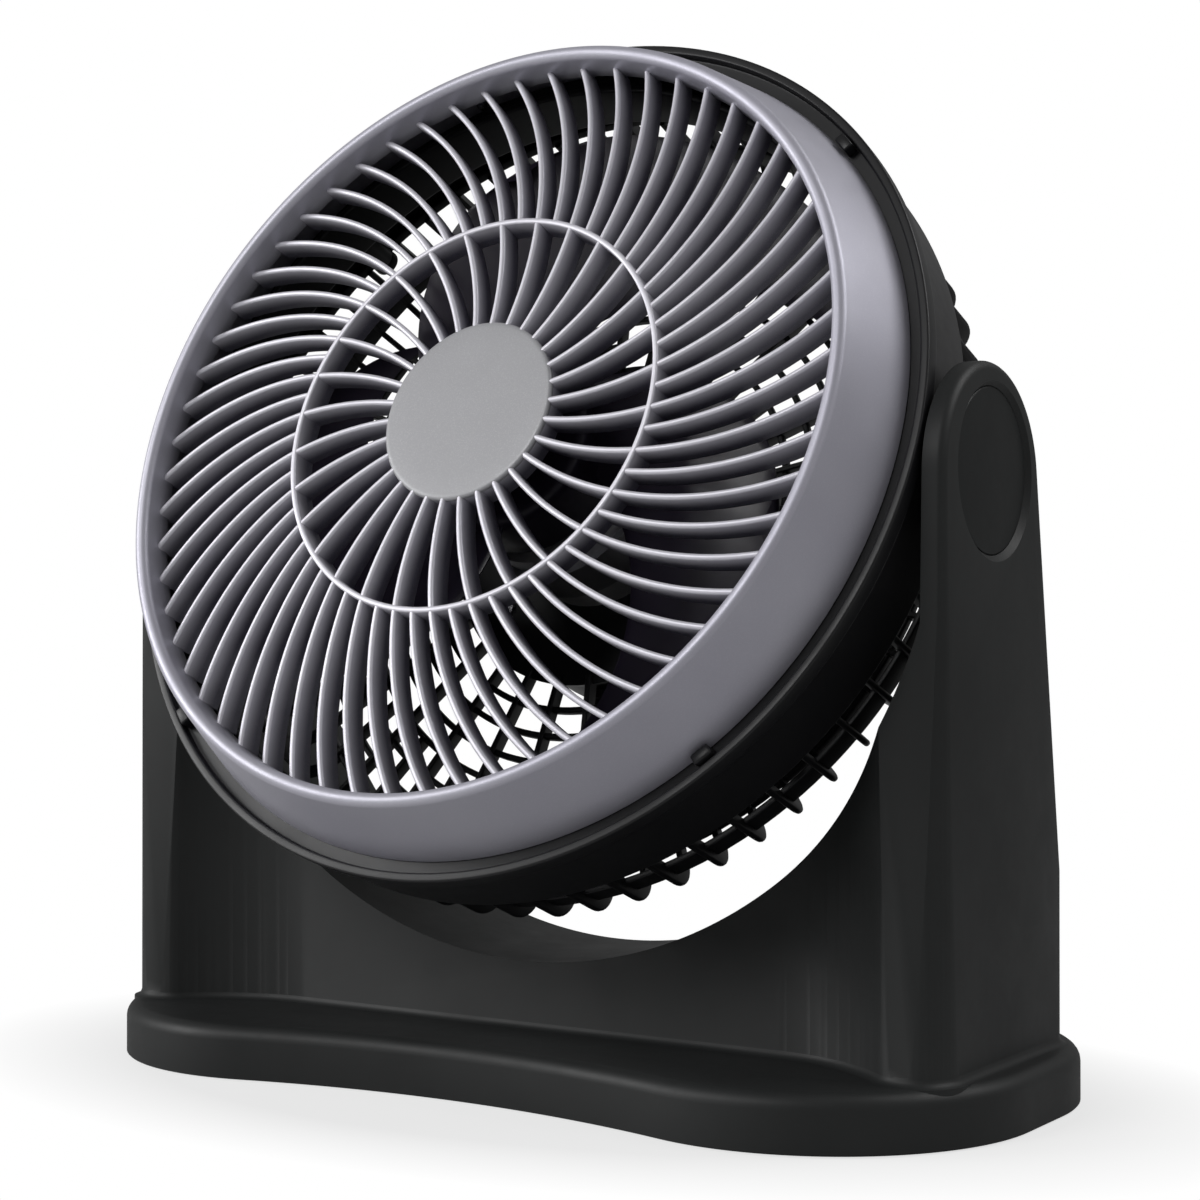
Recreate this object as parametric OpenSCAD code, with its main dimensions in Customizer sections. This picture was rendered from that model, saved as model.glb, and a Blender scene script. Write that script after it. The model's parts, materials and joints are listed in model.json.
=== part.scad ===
// Round air circulator whose head tilts in a forked stand. Lengths in millimetres.
// X runs to the right, Y to the back, Z up; the front faces -Y and the feet stand on Z = 0.

/* [Base] */
// Width of the base skirt
base_w = 321; // [310:1:340]
// Depth of the base skirt
base_d = 158; // [150:1:170]
// Radius of the four base corners
base_corner_r = 66; // [60:1:72]
// Radius of the inward curve along the front and back of the base
base_cove_r = 289; // [250:1:340]
// Height of the top of the base above the floor
base_h = 17; // [15:0.5:22]
// Rounding along the top edge of the base
base_edge_r = 4.5; // [2:0.5:5]
// Gap between the skirt and the floor
skirt_gap = 0.4; // [0.3:0.1:1.5]
// Wall thickness of the stand moulding
stand_wall = 2.6; // [2:0.1:3.2]
// Thickness of the bottom cover
cover_t = 2.5; // [2.2:0.1:3.5]
// Gap between the bottom cover and the skirt wall
cover_fit = 0.4; // [0.2:0.1:0.8]
// Radius of a rubber foot
foot_r = 11; // [8:0.5:14]
// Thickness of a rubber foot
foot_t = 2; // [1.9:0.1:3]
// Distance of the corner feet from the middle, left and right
foot_x = 105; // [90:1:112]
// Distance of the corner feet from the middle, front and back
foot_y = 42; // [36:1:46]
// Outer radius of a screw post under the base top
base_post_r = 4; // [3.5:0.1:5]

/* [Fork] */
// Width of the fork where it stands on the base
fork_w = 301; // [300.5:0.5:303]
// Half depth of the fork front in the middle
fork_front_waist = 30; // [26:0.5:32]
// Half depth of the fork front at the sides
fork_front = 50; // [46:0.5:52]
// Half depth of the fork back in the middle
fork_back_waist = 29; // [26:0.5:32]
// Half depth of the fork back at the sides
fork_back = 44; // [42:0.5:50]
// Radius of the inward curves between the middle and the sides
fork_cove_r = 63; // [55:1:75]
// Radius of the upright outer corners
fork_corner_r = 12; // [10:0.5:14]
// Radius of the fillet between the fork and the base
fork_flare_r = 2.5; // [2:0.5:3.5]
// Radius of the round cut-out, about the tilt axis
yoke_r = 149; // [148:0.5:151]
// Clear width between the two arms
arm_gap = 285; // [285:0.2:286]
// Height of the tilt axis above the floor
pivot_h = 187; // [185:0.5:200]
// Distance of the tilt axis behind the middle of the base
pivot_y = -9.8; // [-11:0.1:-8]
// Half width of the fork at the top of the arms
ear_x = 149.3; // [149:0.1:150]
// Radius of the round top of each arm
ear_r = 33.5; // [32:0.5:36]
// Distance of the round arm top ahead of the tilt axis
ear_ahead = 1.4; // [0:0.1:3]
// Distance of the centre of the round arm top below the tilt axis
ear_drop = 2.2; // [1:0.1:5]
// Rounding along the outer edge of each arm
ear_edge_r = 2.5; // [2:0.5:4]
// Distance below the tilt axis where the hollow inside each arm stops
hollow_drop = 53; // [51:1:100]

/* [Pivot] */
// Thickness of the arm left under the pivot cap
ear_floor = 2.2; // [1.8:0.1:2.4]
// Radius of the cap recess in each arm
cap_seat_r = 24.3; // [22:0.1:25]
// Gap round the cap
cap_fit = 0.05; // [0.02:0.01:0.09]
// Thickness of the cap
cap_t = 3.3; // [3.2:0.1:3.6]
// Thickness of the cap face
cap_skin = 1; // [0.8:0.1:1.1]
// Radius of the hollow under the cap
cap_hollow_r = 16; // [14:0.5:19]
// Width of the bevel round the cap recess
cap_bevel = 1.6; // [0.8:0.1:2]
// Radius of the pivot journal on the head
journal_r = 9; // [7:0.5:10]
// Running clearance round the pivot journal
journal_fit = 0.06; // [0.03:0.01:0.09]
// Radius of the pad that carries the journal
lug_r = 18; // [16:0.5:20]
// Thickness of the pad that carries the journal
lug_t = 4.5; // [3.5:0.1:4.6]
// Thickness of the friction washer between head and arm
friction_t = 1.2; // [0.9:0.1:1.4]
// Outer radius of the friction washer
friction_r = 17; // [13:0.5:18]
// Outer radius of the retaining washer
keeper_r = 12.5; // [11:0.5:13.5]
// Thickness of the retaining washer
keeper_t = 0.8; // [0.6:0.1:0.9]
// Radius of the pivot screw
pivot_screw_r = 2; // [1.5:0.1:2.5]
// Length of the pivot screw under its head
pivot_screw_l = 7.5; // [6:0.1:7.8]
// Angle of the head above level at rest
rest_tilt = 22; // [0:0.5:45]

/* [Duct] */
// Outer radius of the duct at its front lip
lip_r = 141.3; // [141:0.1:141.6]
// Width of the lip seen from the front
lip_t = 2.8; // [2.2:0.1:3.2]
// Distance of the lip front ahead of the tilt axis
lip_front = 34.5; // [33:0.5:36]
// Depth of the lip, front to back
lip_depth = 6; // [5:0.5:8]
// Outer radius of the duct wall
duct_r = 139.1; // [138.9:0.1:139.4]
// Thickness of the duct wall
duct_wall = 2.4; // [2.3:0.1:2.6]
// Distance of the duct back edge ahead of the tilt axis
duct_back = 3; // [2.5:0.5:5]
// Distance of the front deck face ahead of the tilt axis
deck_front = 31.5; // [31:0.5:32]
// Thickness of the front deck
deck_t = 2.5; // [2.2:0.1:3]
// Inner radius of the shroud round the blades
shroud_r = 121.5; // [120.5:0.1:122]
// Distance of the shroud front ahead of the tilt axis
shroud_front = 38.5; // [36:0.5:39]
// Distance of the shroud back ahead of the tilt axis
shroud_back = 20; // [14:0.5:24]

/* [Front grille] */
// Radius of the rounded crest of the bezel
crest_r = 2.4; // [2.2:0.1:2.8]
// Distance of the crest centre from the head axis
crest_centre_r = 124.2; // [124:0.1:124.4]
// Distance of the crest centre ahead of the tilt axis
crest_s = 56; // [55.5:0.1:56.5]
// Outer radius of the bezel where it meets the deck
bezel_r = 134.5; // [133.5:0.1:135]
// Thickness of the bezel
bezel_t = 1.8; // [1.6:0.1:2]
// Distance of the bezel inner edge ahead of the tilt axis
bezel_lip_s = 40; // [39.8:0.1:41]
// Distance of the slat fronts ahead of the tilt axis
slat_front = 55.3; // [54.5:0.1:56]
// Distance the slat fronts fall back by the time they reach the bezel
slat_drop = 3.8; // [3.4:0.1:4.2]
// Depth of each slat, front to back
slat_depth = 9; // [7:0.5:9.5]
// Thickness of each slat
slat_t = 2; // [1.6:0.1:2.4]
// Radius of the curve that each slat follows
slat_curve_r = 105; // [95:1:120]
// Number of slats between hub and middle ring, doubled outside it
slat_count = 30; // [20:1:32]
// Angle of the first slat where it leaves the hub
slat_phase = 3.9; // [0:0.1:6]
// Radius of the middle ring
mid_ring_r = 65; // [58:0.5:72]
// Width of the middle ring seen from the front
mid_ring_t = 1.8; // [1.5:0.1:2.4]
// Distance of the grille screws from the head axis
grille_post_r = 127.2; // [127.1:0.1:127.3]
// Radius of the hub disc
disc_r = 29.8; // [27:0.1:32]
// Thickness of the hub disc
disc_t = 2; // [1.5:0.1:2.4]

/* [Rear guard] */
// Number of guard fins
fin_count = 60; // [40:2:60]
// Thickness of each fin
fin_t = 2; // [1.6:0.1:2.2]
// Angle of the first fin
fin_phase = 2; // [0:1:5]
// Outer radius of the fins
fin_r = 136.2; // [135.6:0.1:136.3]
// Depth of each fin across its bar
fin_bar = 5; // [4:0.5:6]
// Distance of the guard back face behind the tilt axis
guard_back = 31; // [29:0.5:33]
// Radius of the rounded back corner of the fins
fin_corner_r = 12; // [11:0.5:14]
// Spacing of the guard hoops
hoop_pitch = 9; // [8.5:0.1:9.5]
// Width of each guard hoop bar
hoop_t = 2; // [1.6:0.1:2.4]
// Radius where every second fin stops
fin_stop_r = 92.5; // [84:0.5:100]
// Distance of the guard screws from the head axis
guard_post_r = 129; // [128.5:0.1:129.5]
// Width of the band round the guard corner
band_w = 9; // [7:0.5:10]

/* [Motor and controls] */
// Radius of the motor cover at the back
cup_r = 52; // [50:0.5:54]
// Depth of the motor cover
cup_depth = 37; // [33:0.5:40]
// Wall thickness of the motor cover
cup_wall = 2.2; // [2:0.1:2.6]
// Radius of the motor core
core_r = 32; // [29:0.5:33]
// Thickness of the motor core
core_t = 16; // [14:0.5:17]
// Thickness of the motor front end shield
shield_t = 8; // [7:0.5:9]
// Distance of the motor bolts from the shaft
bolt_circle_r = 25; // [24.5:0.1:25.5]
// Bore radius through the motor core
core_bore_r = 16; // [15.8:0.1:16.3]
// Running gap between rotor and motor core
rotor_gap = 0.5; // [0.4:0.1:0.8]
// Outer radius of the bearings
bearing_r = 8; // [7:0.1:8.4]
// Length of the bearings
bearing_l = 5; // [4:0.5:6]
// Distance of the cover screws from the head axis
cover_post_r = 44; // [43.5:0.1:44.5]
// Rounding round the back of the motor cover
cup_edge_r = 5; // [4:0.5:6]
// Distance of the cord inlet behind the tilt axis
inlet_back = 52; // [50:0.5:54]
// Radius of the motor shaft
shaft_r = 4; // [3:0.25:4.5]
// Fit clearance round the shaft in its bearings
shaft_fit = 0.03; // [0.02:0.01:0.06]
// Radius of the speed knob
knob_r = 17; // [14:0.5:20]
// Height of the speed knob
knob_h = 15; // [12:0.5:17]
// Number of flutes round the knob
knob_flutes = 14; // [10:1:18]

/* [Impeller] */
// Number of blades
blade_count = 3; // [3:1:4]
// Radius at the blade tips
tip_r = 117.5; // [114:0.5:118.5]
// Radius of the impeller hub
hub_r = 29; // [27:0.5:31]
// Distance of the hub front ahead of the tilt axis
hub_front = 34; // [32:0.5:36]
// Depth of the hub cup
hub_depth = 21; // [19:0.5:22]
// Thickness of the blades
blade_t = 2.2; // [1.8:0.1:3]
// Angle that one blade covers at its tip
blade_sweep = 92; // [70:1:96]
// Angle of the first blade at its root
blade_phase = 13; // [0:1:119]
// Angle that each blade falls back from root to tip
blade_skew = 71; // [0:1:75]

/* [Hidden] */
$fn = 96;
stand_color = [0.15, 0.155, 0.155];
black_color = [0.06, 0.06, 0.065];
silver_color = [0.66, 0.66, 0.69];
steel_color = [0.75, 0.75, 0.77];

corner_x = base_w / 2 - base_corner_r;
corner_y = base_d / 2 - base_corner_r;
cove_y = corner_y + sqrt(pow(base_cove_r + base_corner_r, 2) - corner_x * corner_x);
cove_bite = 0.15;
deck_under = base_h - stand_wall;
cover_top = foot_t + cover_t;
flare_z = base_h + fork_flare_r;
ear_y = pivot_y - ear_ahead;
ear_z = pivot_h - ear_drop;
hollow_top = pivot_h - hollow_drop;
fork_top = ear_z + ear_r + 20;
arm_root = arm_gap / 3;
arm_lean = atan((fork_w / 2 - ear_x) / (ear_z - flare_z));
arm_x = arm_gap / 2;
floor_x = arm_x + ear_floor;
lug_x = arm_x - friction_t;
deck_back = deck_front - deck_t;
bezel_lean = acos(crest_r / norm([bezel_r - crest_centre_r, crest_s - deck_front]))
    - atan2(crest_s - deck_front, bezel_r - crest_centre_r);
slat_tip_r = crest_centre_r - crest_r + bezel_t / 2;
slat_start_r = disc_r;
plate_back = guard_back + 0.5;
cup_back = plate_back + cup_depth;
plate_front = 3 - guard_back;
core_back = plate_front + 12;
core_front = core_back + core_t;
shield_front = core_front + shield_t;
hub_back = hub_front - hub_depth;
hoop_last = cup_r + 5;
hoop_n = floor((fin_r - fin_corner_r - hoop_last) / hoop_pitch);
post_angles = [17, 107, 197, 287];
guard_angles = [47, 137, 227, 317];
clip_angles = [43, 133, 223, 313];
post_x = corner_x + 23.5;
post_y = base_d / 2 - 21;
base_posts = [[post_x, post_y], [-post_x, post_y], [post_x, -post_y], [-post_x, -post_y],
    [0, post_y - 11], [0, 11 - post_y]];

// ---- frames of reference ----

// Head axes: x to the right, y up the head, z forward along the fan axis
module in_head() {
    translate([0, pivot_y, pivot_h])
        rotate([90 - rest_tilt, 0, 0])
            children();
}

// Side axes: z runs outward along X from the tilt axis, on the right and the left
module both_sides() {
    translate([0, pivot_y, pivot_h])
        rotate([0, 90, 0])
            children();
    translate([0, pivot_y, pivot_h])
        rotate([0, -90, 0])
            children();
}

module ring(r_out, r_in, h) {
    difference() {
        cylinder(r = r_out, h = h);
        translate([0, 0, -1])
            cylinder(r = r_in, h = h + 2);
    }
}

// ---- base ----

function cove_touch(inset) = [
    corner_x - (base_corner_r - inset) * corner_x / (base_cove_r + base_corner_r),
    corner_y + (base_corner_r - inset) * (cove_y - corner_y) / (base_cove_r + base_corner_r)
];

module base_core_2d(inset) {
    t = cove_touch(inset);
    polygon([
        [-t[0], -t[1]], [t[0], -t[1]], [corner_x, -corner_y], [corner_x, corner_y],
        [t[0], t[1]], [-t[0], t[1]], [-corner_x, corner_y], [-corner_x, -corner_y]
    ]);
}

module base_outline(inset) {
    difference() {
        base_core_2d(inset);
        for (side = [-1, 1])
            translate([0, side * cove_y])
                circle(r = base_cove_r + cove_bite + inset, $fn = 240);
    }
    for (sx = [-1, 1], sy = [-1, 1])
        translate([sx * corner_x, sy * corner_y])
            circle(r = base_corner_r - inset);
    square([base_w - 2 * inset, 2 * corner_y], center = true);
}

module edge_profile(r, h) {
    square([r - base_edge_r, h]);
    square([r, h - base_edge_r]);
    translate([r - base_edge_r, h - base_edge_r])
        circle(r = base_edge_r);
}

module base_solid() {
    h = base_h - skirt_gap;
    translate([0, 0, skirt_gap]) {
        difference() {
            linear_extrude(h)
                base_core_2d(0);
            for (side = [-1, 1])
                translate([0, side * cove_y, 0]) {
                    translate([0, 0, -1])
                        cylinder(r = base_cove_r + cove_bite, h = h + 2, $fn = 240);
                    rotate_extrude($fn = 240)
                        translate([0, h - base_edge_r])
                            difference() {
                                square([base_cove_r + cove_bite + base_edge_r, base_edge_r + 1]);
                                translate([base_cove_r + cove_bite + base_edge_r, 0])
                                    circle(r = base_edge_r);
                            }
                }
        }
        for (sx = [-1, 1], sy = [-1, 1])
            translate([sx * corner_x, sy * corner_y, 0])
                rotate_extrude()
                    intersection() {
                        edge_profile(base_corner_r, h);
                        square([base_corner_r + 1, h + 1]);
                    }
        for (side = [0, 180])
            rotate([90, 0, side])
                translate([0, 0, -corner_y])
                    linear_extrude(2 * corner_y)
                        edge_profile(base_w / 2, h);
    }
}

// ---- fork ----

// Centre of the inward curve in the quarter of the fork toward +X and -Y
function fork_corner(depth) = [fork_w / 2 - fork_corner_r, fork_corner_r - depth];
function fork_cove(depth, waist) = let (
    c = fork_corner(depth),
    drop = waist + fork_cove_r
) [c[0] - sqrt(pow(fork_cove_r + fork_corner_r, 2) - pow(drop + c[1], 2)), -drop];
function fork_turn(depth, waist) = let (
    d = fork_cove(depth, waist) - fork_corner(depth)
) atan2(d[1], d[0]);

function arc(c, r, from, to, n) = [
    for (i = [0:n]) let (a = from + (to - from) * i / n) c + r * [cos(a), sin(a)]
];
function quarter(depth, waist, inset) = let (turn = fork_turn(depth, waist)) concat(
    arc(fork_cove(depth, waist), fork_cove_r + inset, 90, turn + 180, 14),
    arc(fork_corner(depth), fork_corner_r - inset, turn, 0, 12)
);
function flip(points, sx, sy) = [for (p = points) [p[0] * sx, p[1] * sy]];
function back_to_front(points) = [for (i = [len(points) - 1:-1:0]) points[i]];

function fork_points(inset) = let (
    front = quarter(fork_front, fork_front_waist, inset),
    back = quarter(fork_back, fork_back_waist, inset)
) concat(
    front, back_to_front(flip(back, 1, -1)),
    flip(back, -1, -1), back_to_front(flip(front, -1, 1))
);

module fork_plan(inset) {
    polygon(fork_points(inset));
}

function lean_angle(depth, drop) =
    acos(ear_r / norm([depth, drop])) - atan2(drop, depth);

module arm_edge_2d(face, inset) {
    r = max(ear_edge_r - inset, 1);
    translate([-400, face - 300])
        square([400 - inset - r, 300]);
    translate([-400, face - 300])
        square([400 - inset, 300 - r]);
    translate([-inset - r, face - r])
        circle(r = r);
}

// Everything left of the outer face of the right arm, inside its rounded outline
module arm_form(inset) {
    drop = ear_z - flare_z;
    front = lean_angle(fork_front - 0.4 + ear_y, drop);
    back = lean_angle(fork_back - 0.4 - ear_y, drop);
    face = ear_r - inset;
    translate([ear_x, ear_y, ear_z])
        rotate([0, -arm_lean, 0]) {
            rotate([0, 90, 0])
                rotate_extrude()
                    intersection() {
                        rotate(90)
                            arm_edge_2d(face, inset);
                        translate([0, -320])
                            square([face + 1, 320]);
                    }
            intersection() {
                rotate([-front, 0, 0])
                    linear_extrude(460, center = true)
                        mirror([0, 1])
                            arm_edge_2d(face, inset);
                rotate([back, 0, 0])
                    linear_extrude(460, center = true)
                        arm_edge_2d(face, inset);
                translate([-320, 0, 0])
                    rotate([90, 0, 90])
                        linear_extrude(330)
                            polygon([
                                [-2 * ear_r * cos(front), 2 * ear_r * sin(front)], [0, 0],
                                [2 * ear_r * cos(back), 2 * ear_r * sin(back)],
                                [210, -210], [-210, -210]
                            ]);
            }
        }
    translate([-400, -base_d, -50])
        cube([400 + arm_root, 2 * base_d, fork_top + 100]);
}

module yoke_gap(grow) {
    rotate([90, 0, 0])
        linear_extrude(2 * base_d, center = true) {
            intersection() {
                translate([0, pivot_h])
                    circle(r = yoke_r + grow, $fn = 180);
                translate([-arm_x - grow, 0])
                    square([arm_gap + 2 * grow, pivot_h + 5]);
            }
            translate([-arm_x - grow, pivot_h])
                square([arm_gap + 2 * grow, fork_top]);
        }
}

module fork_solid(inset, low, high) {
    difference() {
        intersection() {
            translate([0, 0, low])
                linear_extrude(high - low)
                    fork_plan(inset);
            arm_form(inset);
            mirror([1, 0, 0])
                arm_form(inset);
        }
        yoke_gap(inset);
    }
}

// Hollow fillet round the foot of the fork, as [inset, height] rows
function flare_row(k, n) = let (a = 90 - 90 * k / n) [
    -fork_flare_r * (1 - cos(a)) + (k == n ? 0.2 : 0),
    base_h + fork_flare_r * (1 - sin(a)) - (k == 0 ? 0.05 : 0)
];

module fork_flare() {
    n = 4;
    rows = concat(
        [[1, base_h - 2], [-fork_flare_r, base_h - 2]],
        [for (k = [0:n]) flare_row(k, n)],
        [[1, base_h + fork_flare_r]]
    );
    m = len(fork_points(0));
    points = [for (row = rows, p = fork_points(row[0])) [p[0], p[1], row[1]]];
    faces = [
        for (i = [0:len(rows) - 1], j = [0:m - 1], h = [0, 1])
            let (
                up = (i + 1) % len(rows) * m,
                low = i * m,
                next = (j + 1) % m
            )
            h == 0 ? [low + j, up + j, up + next] : [low + j, up + next, low + next]
    ];
    polyhedron(points = points, faces = faces);
}

module stand_shell() {
    color(stand_color)
        difference() {
            union() {
                difference() {
                    union() {
                        base_solid();
                        fork_solid(0, base_h - 1, fork_top);
                        fork_flare();
                    }
                    linear_extrude(deck_under)
                        base_outline(stand_wall);
                    fork_solid(stand_wall, deck_under - 1, hollow_top);
                }
                for (p = base_posts)
                    translate([p[0], p[1], cover_top])
                        cylinder(r = base_post_r, h = deck_under - cover_top + 0.5);
            }
            for (p = base_posts)
                translate([p[0], p[1], 0])
                    cylinder(r = 1.55, h = deck_under - 1.5);
            both_sides() {
                cylinder(r = journal_r + journal_fit, h = 200);
                translate([0, 0, floor_x])
                    cylinder(r = cap_seat_r, h = 20);
                translate([0, 0, ear_x - cap_bevel])
                    cylinder(r1 = cap_seat_r, r2 = cap_seat_r + 3 * cap_bevel,
                        h = 3 * cap_bevel);
            }
        }
}

module base_cover() {
    color(black_color)
        difference() {
            translate([0, 0, foot_t])
                linear_extrude(cover_t)
                    base_outline(stand_wall + cover_fit);
            for (p = base_posts)
                translate([p[0], p[1], 0]) {
                    cylinder(r = 1.6, h = 10);
                    cylinder(r = 3.2, h = foot_t + 1.5);
                }
        }
}

module rubber_feet() {
    color([0.09, 0.09, 0.09])
        union() {
            for (sx = [-1, 1], sy = [-1, 1])
                translate([sx * foot_x, sy * foot_y, 0])
                    cylinder(r = foot_r, h = foot_t);
            cylinder(r = foot_r, h = foot_t);
        }
}

module pan_screw(r, l, head_r, head_t) {
    cylinder(r = head_r, h = head_t);
    cylinder(r = r, h = head_t + l);
}

module base_screws() {
    color(steel_color)
        for (p = base_posts)
            translate([p[0], p[1], foot_t])
                pan_screw(1.5, 7.5, 3, 1.5);
}

module pivot_cap() {
    difference() {
        translate([0, 0, floor_x])
            cylinder(r = cap_seat_r - cap_fit, h = cap_t);
        cylinder(r = cap_hollow_r, h = floor_x + cap_t - cap_skin);
    }
}

module right_pivot_cap() {
    color(stand_color)
        translate([0, pivot_y, pivot_h])
            rotate([0, 90, 0])
                pivot_cap();
}

module left_pivot_cap() {
    color(stand_color)
        translate([0, pivot_y, pivot_h])
            rotate([0, -90, 0])
                pivot_cap();
}

// ---- head housing ----

module duct_housing() {
    color(black_color)
        union() {
            difference() {
                in_head()
                    union() {
                        translate([0, 0, duct_back])
                            ring(duct_r, duct_r - duct_wall, deck_front - duct_back);
                        translate([0, 0, lip_front - lip_depth])
                            ring(lip_r, lip_r - lip_t, lip_depth);
                        translate([0, 0, deck_back])
                            ring(duct_r, shroud_r, deck_t);
                        translate([0, 0, shroud_back])
                            ring(shroud_r + duct_wall, shroud_r, shroud_front - shroud_back);
                        for (a = guard_angles)
                            rotate([0, 0, a])
                                translate([guard_post_r, 0, duct_back + 3])
                                    cylinder(r = 4.5, h = deck_back - duct_back - 2.5);
                    }
                in_head() {
                    for (a = guard_angles)
                        rotate([0, 0, a])
                            translate([guard_post_r, 0, 0])
                                cylinder(r = 1.55, h = deck_back - 4);
                    for (a = post_angles)
                        rotate([0, 0, a])
                            translate([grille_post_r, 0, deck_back - 1])
                                cylinder(r = 1.7, h = deck_t + 2);
                }
            }
            both_sides()
                difference() {
                    union() {
                        translate([0, 0, lug_x - lug_t])
                            cylinder(r = lug_r, h = lug_t);
                        translate([0, 0, lug_x - 1])
                            cylinder(r = journal_r, h = floor_x + 0.05 - lug_x + 1);
                    }
                    translate([0, 0, floor_x + 0.05 - pivot_screw_l])
                        cylinder(r = pivot_screw_r + 0.05, h = 20);
                }
        }
}

module friction_washers() {
    color([0.8, 0.8, 0.78])
        both_sides()
            translate([0, 0, lug_x])
                ring(friction_r, journal_r + 0.3, friction_t);
}

module retaining_washers() {
    color(steel_color)
        both_sides()
            translate([0, 0, floor_x + 0.05])
                ring(keeper_r, pivot_screw_r + 0.1, keeper_t);
}

module pivot_screws() {
    color(steel_color)
        both_sides()
            translate([0, 0, floor_x + 0.05 + keeper_t + 1.1])
                rotate([180, 0, 0])
                    pan_screw(pivot_screw_r, keeper_t + pivot_screw_l - 0.3, 4.2, 1.1);
}

// ---- front grille ----

module bezel_2d(inset, low) {
    r = crest_r - inset;
    out = [r * cos(bezel_lean), r * sin(bezel_lean)];
    run = (crest_s - deck_front + out[1] + low) / cos(bezel_lean);
    c = [crest_centre_r, crest_s];
    translate(c)
        circle(r = r);
    polygon([
        c - [r, 0], c, c + out,
        c + out + run * [sin(bezel_lean), -cos(bezel_lean)],
        c - [r, crest_s - deck_front + low]
    ]);
}

module bezel() {
    rotate_extrude()
        difference() {
            bezel_2d(0, 0);
            bezel_2d(bezel_t, 5);
            square([crest_centre_r, bezel_lip_s]);
        }
}

module slat_band(front, depth) {
    flat = mid_ring_r;
    rotate_extrude()
        polygon([
            [0, front - depth], [flat, front - depth],
            [slat_tip_r, front - depth - slat_drop],
            [slat_tip_r, front - slat_drop], [flat, front], [0, front]
        ]);
}

// One curved slat seen from the front, leaving the hub along +X
module slat_2d() {
    lead = 1.5;
    c = [slat_start_r - slat_curve_r * sin(lead), slat_curve_r * cos(lead)];
    intersection() {
        translate(c)
            difference() {
                circle(r = slat_curve_r + slat_t / 2, $fn = 240);
                circle(r = slat_curve_r - slat_t / 2, $fn = 240);
            }
        polygon([[0, 0], [200, -20], [200, 120]]);
    }
}

module slats() {
    step = 360 / slat_count;
    intersection() {
        linear_extrude(80)
            difference() {
                for (k = [0:slat_count - 1]) {
                    rotate(slat_phase + k * step)
                        slat_2d();
                    rotate(slat_phase + (k + 0.5) * step)
                        difference() {
                            slat_2d();
                            circle(r = mid_ring_r - 0.4);
                        }
                }
                circle(r = disc_r - 2.5);
            }
        slat_band(slat_front, slat_depth);
    }
}

module front_grille() {
    color(silver_color)
        in_head()
            difference() {
                union() {
                    bezel();
                    slats();
                    translate([0, 0, slat_front - slat_depth + 0.3])
                        ring(mid_ring_r + mid_ring_t / 2, mid_ring_r - mid_ring_t / 2,
                            slat_depth - 0.1);
                    translate([0, 0, slat_front - slat_depth - 0.4])
                        ring(disc_r - 0.5, disc_r - 3, slat_depth);
                    translate([0, 0, slat_front - 2 * disc_t + 0.2])
                        cylinder(r = disc_r - 1, h = disc_t + 1);
                    for (a = post_angles)
                        rotate([0, 0, a])
                            translate([grille_post_r, 0, deck_front])
                                cylinder(r = 2.9, h = crest_s - deck_front - 11);
                }
                translate([0, 0, slat_front - disc_t + 0.2])
                    cylinder(r = disc_r + 0.1, h = 10);
                for (a = post_angles)
                    rotate([0, 0, a])
                        translate([grille_post_r, 0, deck_front - 1])
                            cylinder(r = 1.55, h = 12.5);
            }
}

module hub_disc() {
    color([0.68, 0.68, 0.7])
        in_head()
            translate([0, 0, slat_front - disc_t + 0.2])
                cylinder(r = disc_r, h = disc_t);
}

module grille_screws() {
    color(steel_color)
        in_head()
            for (a = post_angles)
                rotate([0, 0, a])
                    translate([grille_post_r, 0, deck_back - 1.6])
                        pan_screw(1.5, 12, 3, 1.6);
}

module grille_clips() {
    color(black_color)
        in_head()
            for (a = clip_angles)
                rotate([0, 0, a])
                    translate([bezel_r + 0.25, -3, deck_front])
                        cube([lip_r - lip_t - bezel_r - 0.75, 6, 4.5]);
}

// ---- rear guard ----

module fin_shape_2d(inset) {
    r = fin_corner_r - inset;
    translate([0, -guard_back + inset])
        square([fin_r - fin_corner_r, guard_back + duct_back + 2]);
    translate([0, -guard_back + fin_corner_r])
        square([fin_r - inset, guard_back - fin_corner_r + duct_back + 2 + inset]);
    translate([fin_r - fin_corner_r, -guard_back + fin_corner_r])
        circle(r = r);
}

module fin(inner) {
    rotate([90, 0, 0])
        translate([0, 0, -fin_t / 2])
            linear_extrude(fin_t)
                difference() {
                    fin_shape_2d(0);
                    fin_shape_2d(fin_bar);
                    translate([0, -guard_back - 1])
                        square([inner, guard_back * 2 + 40]);
                    translate([0, duct_back])
                        square([200, 60]);
                }
}

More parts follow.
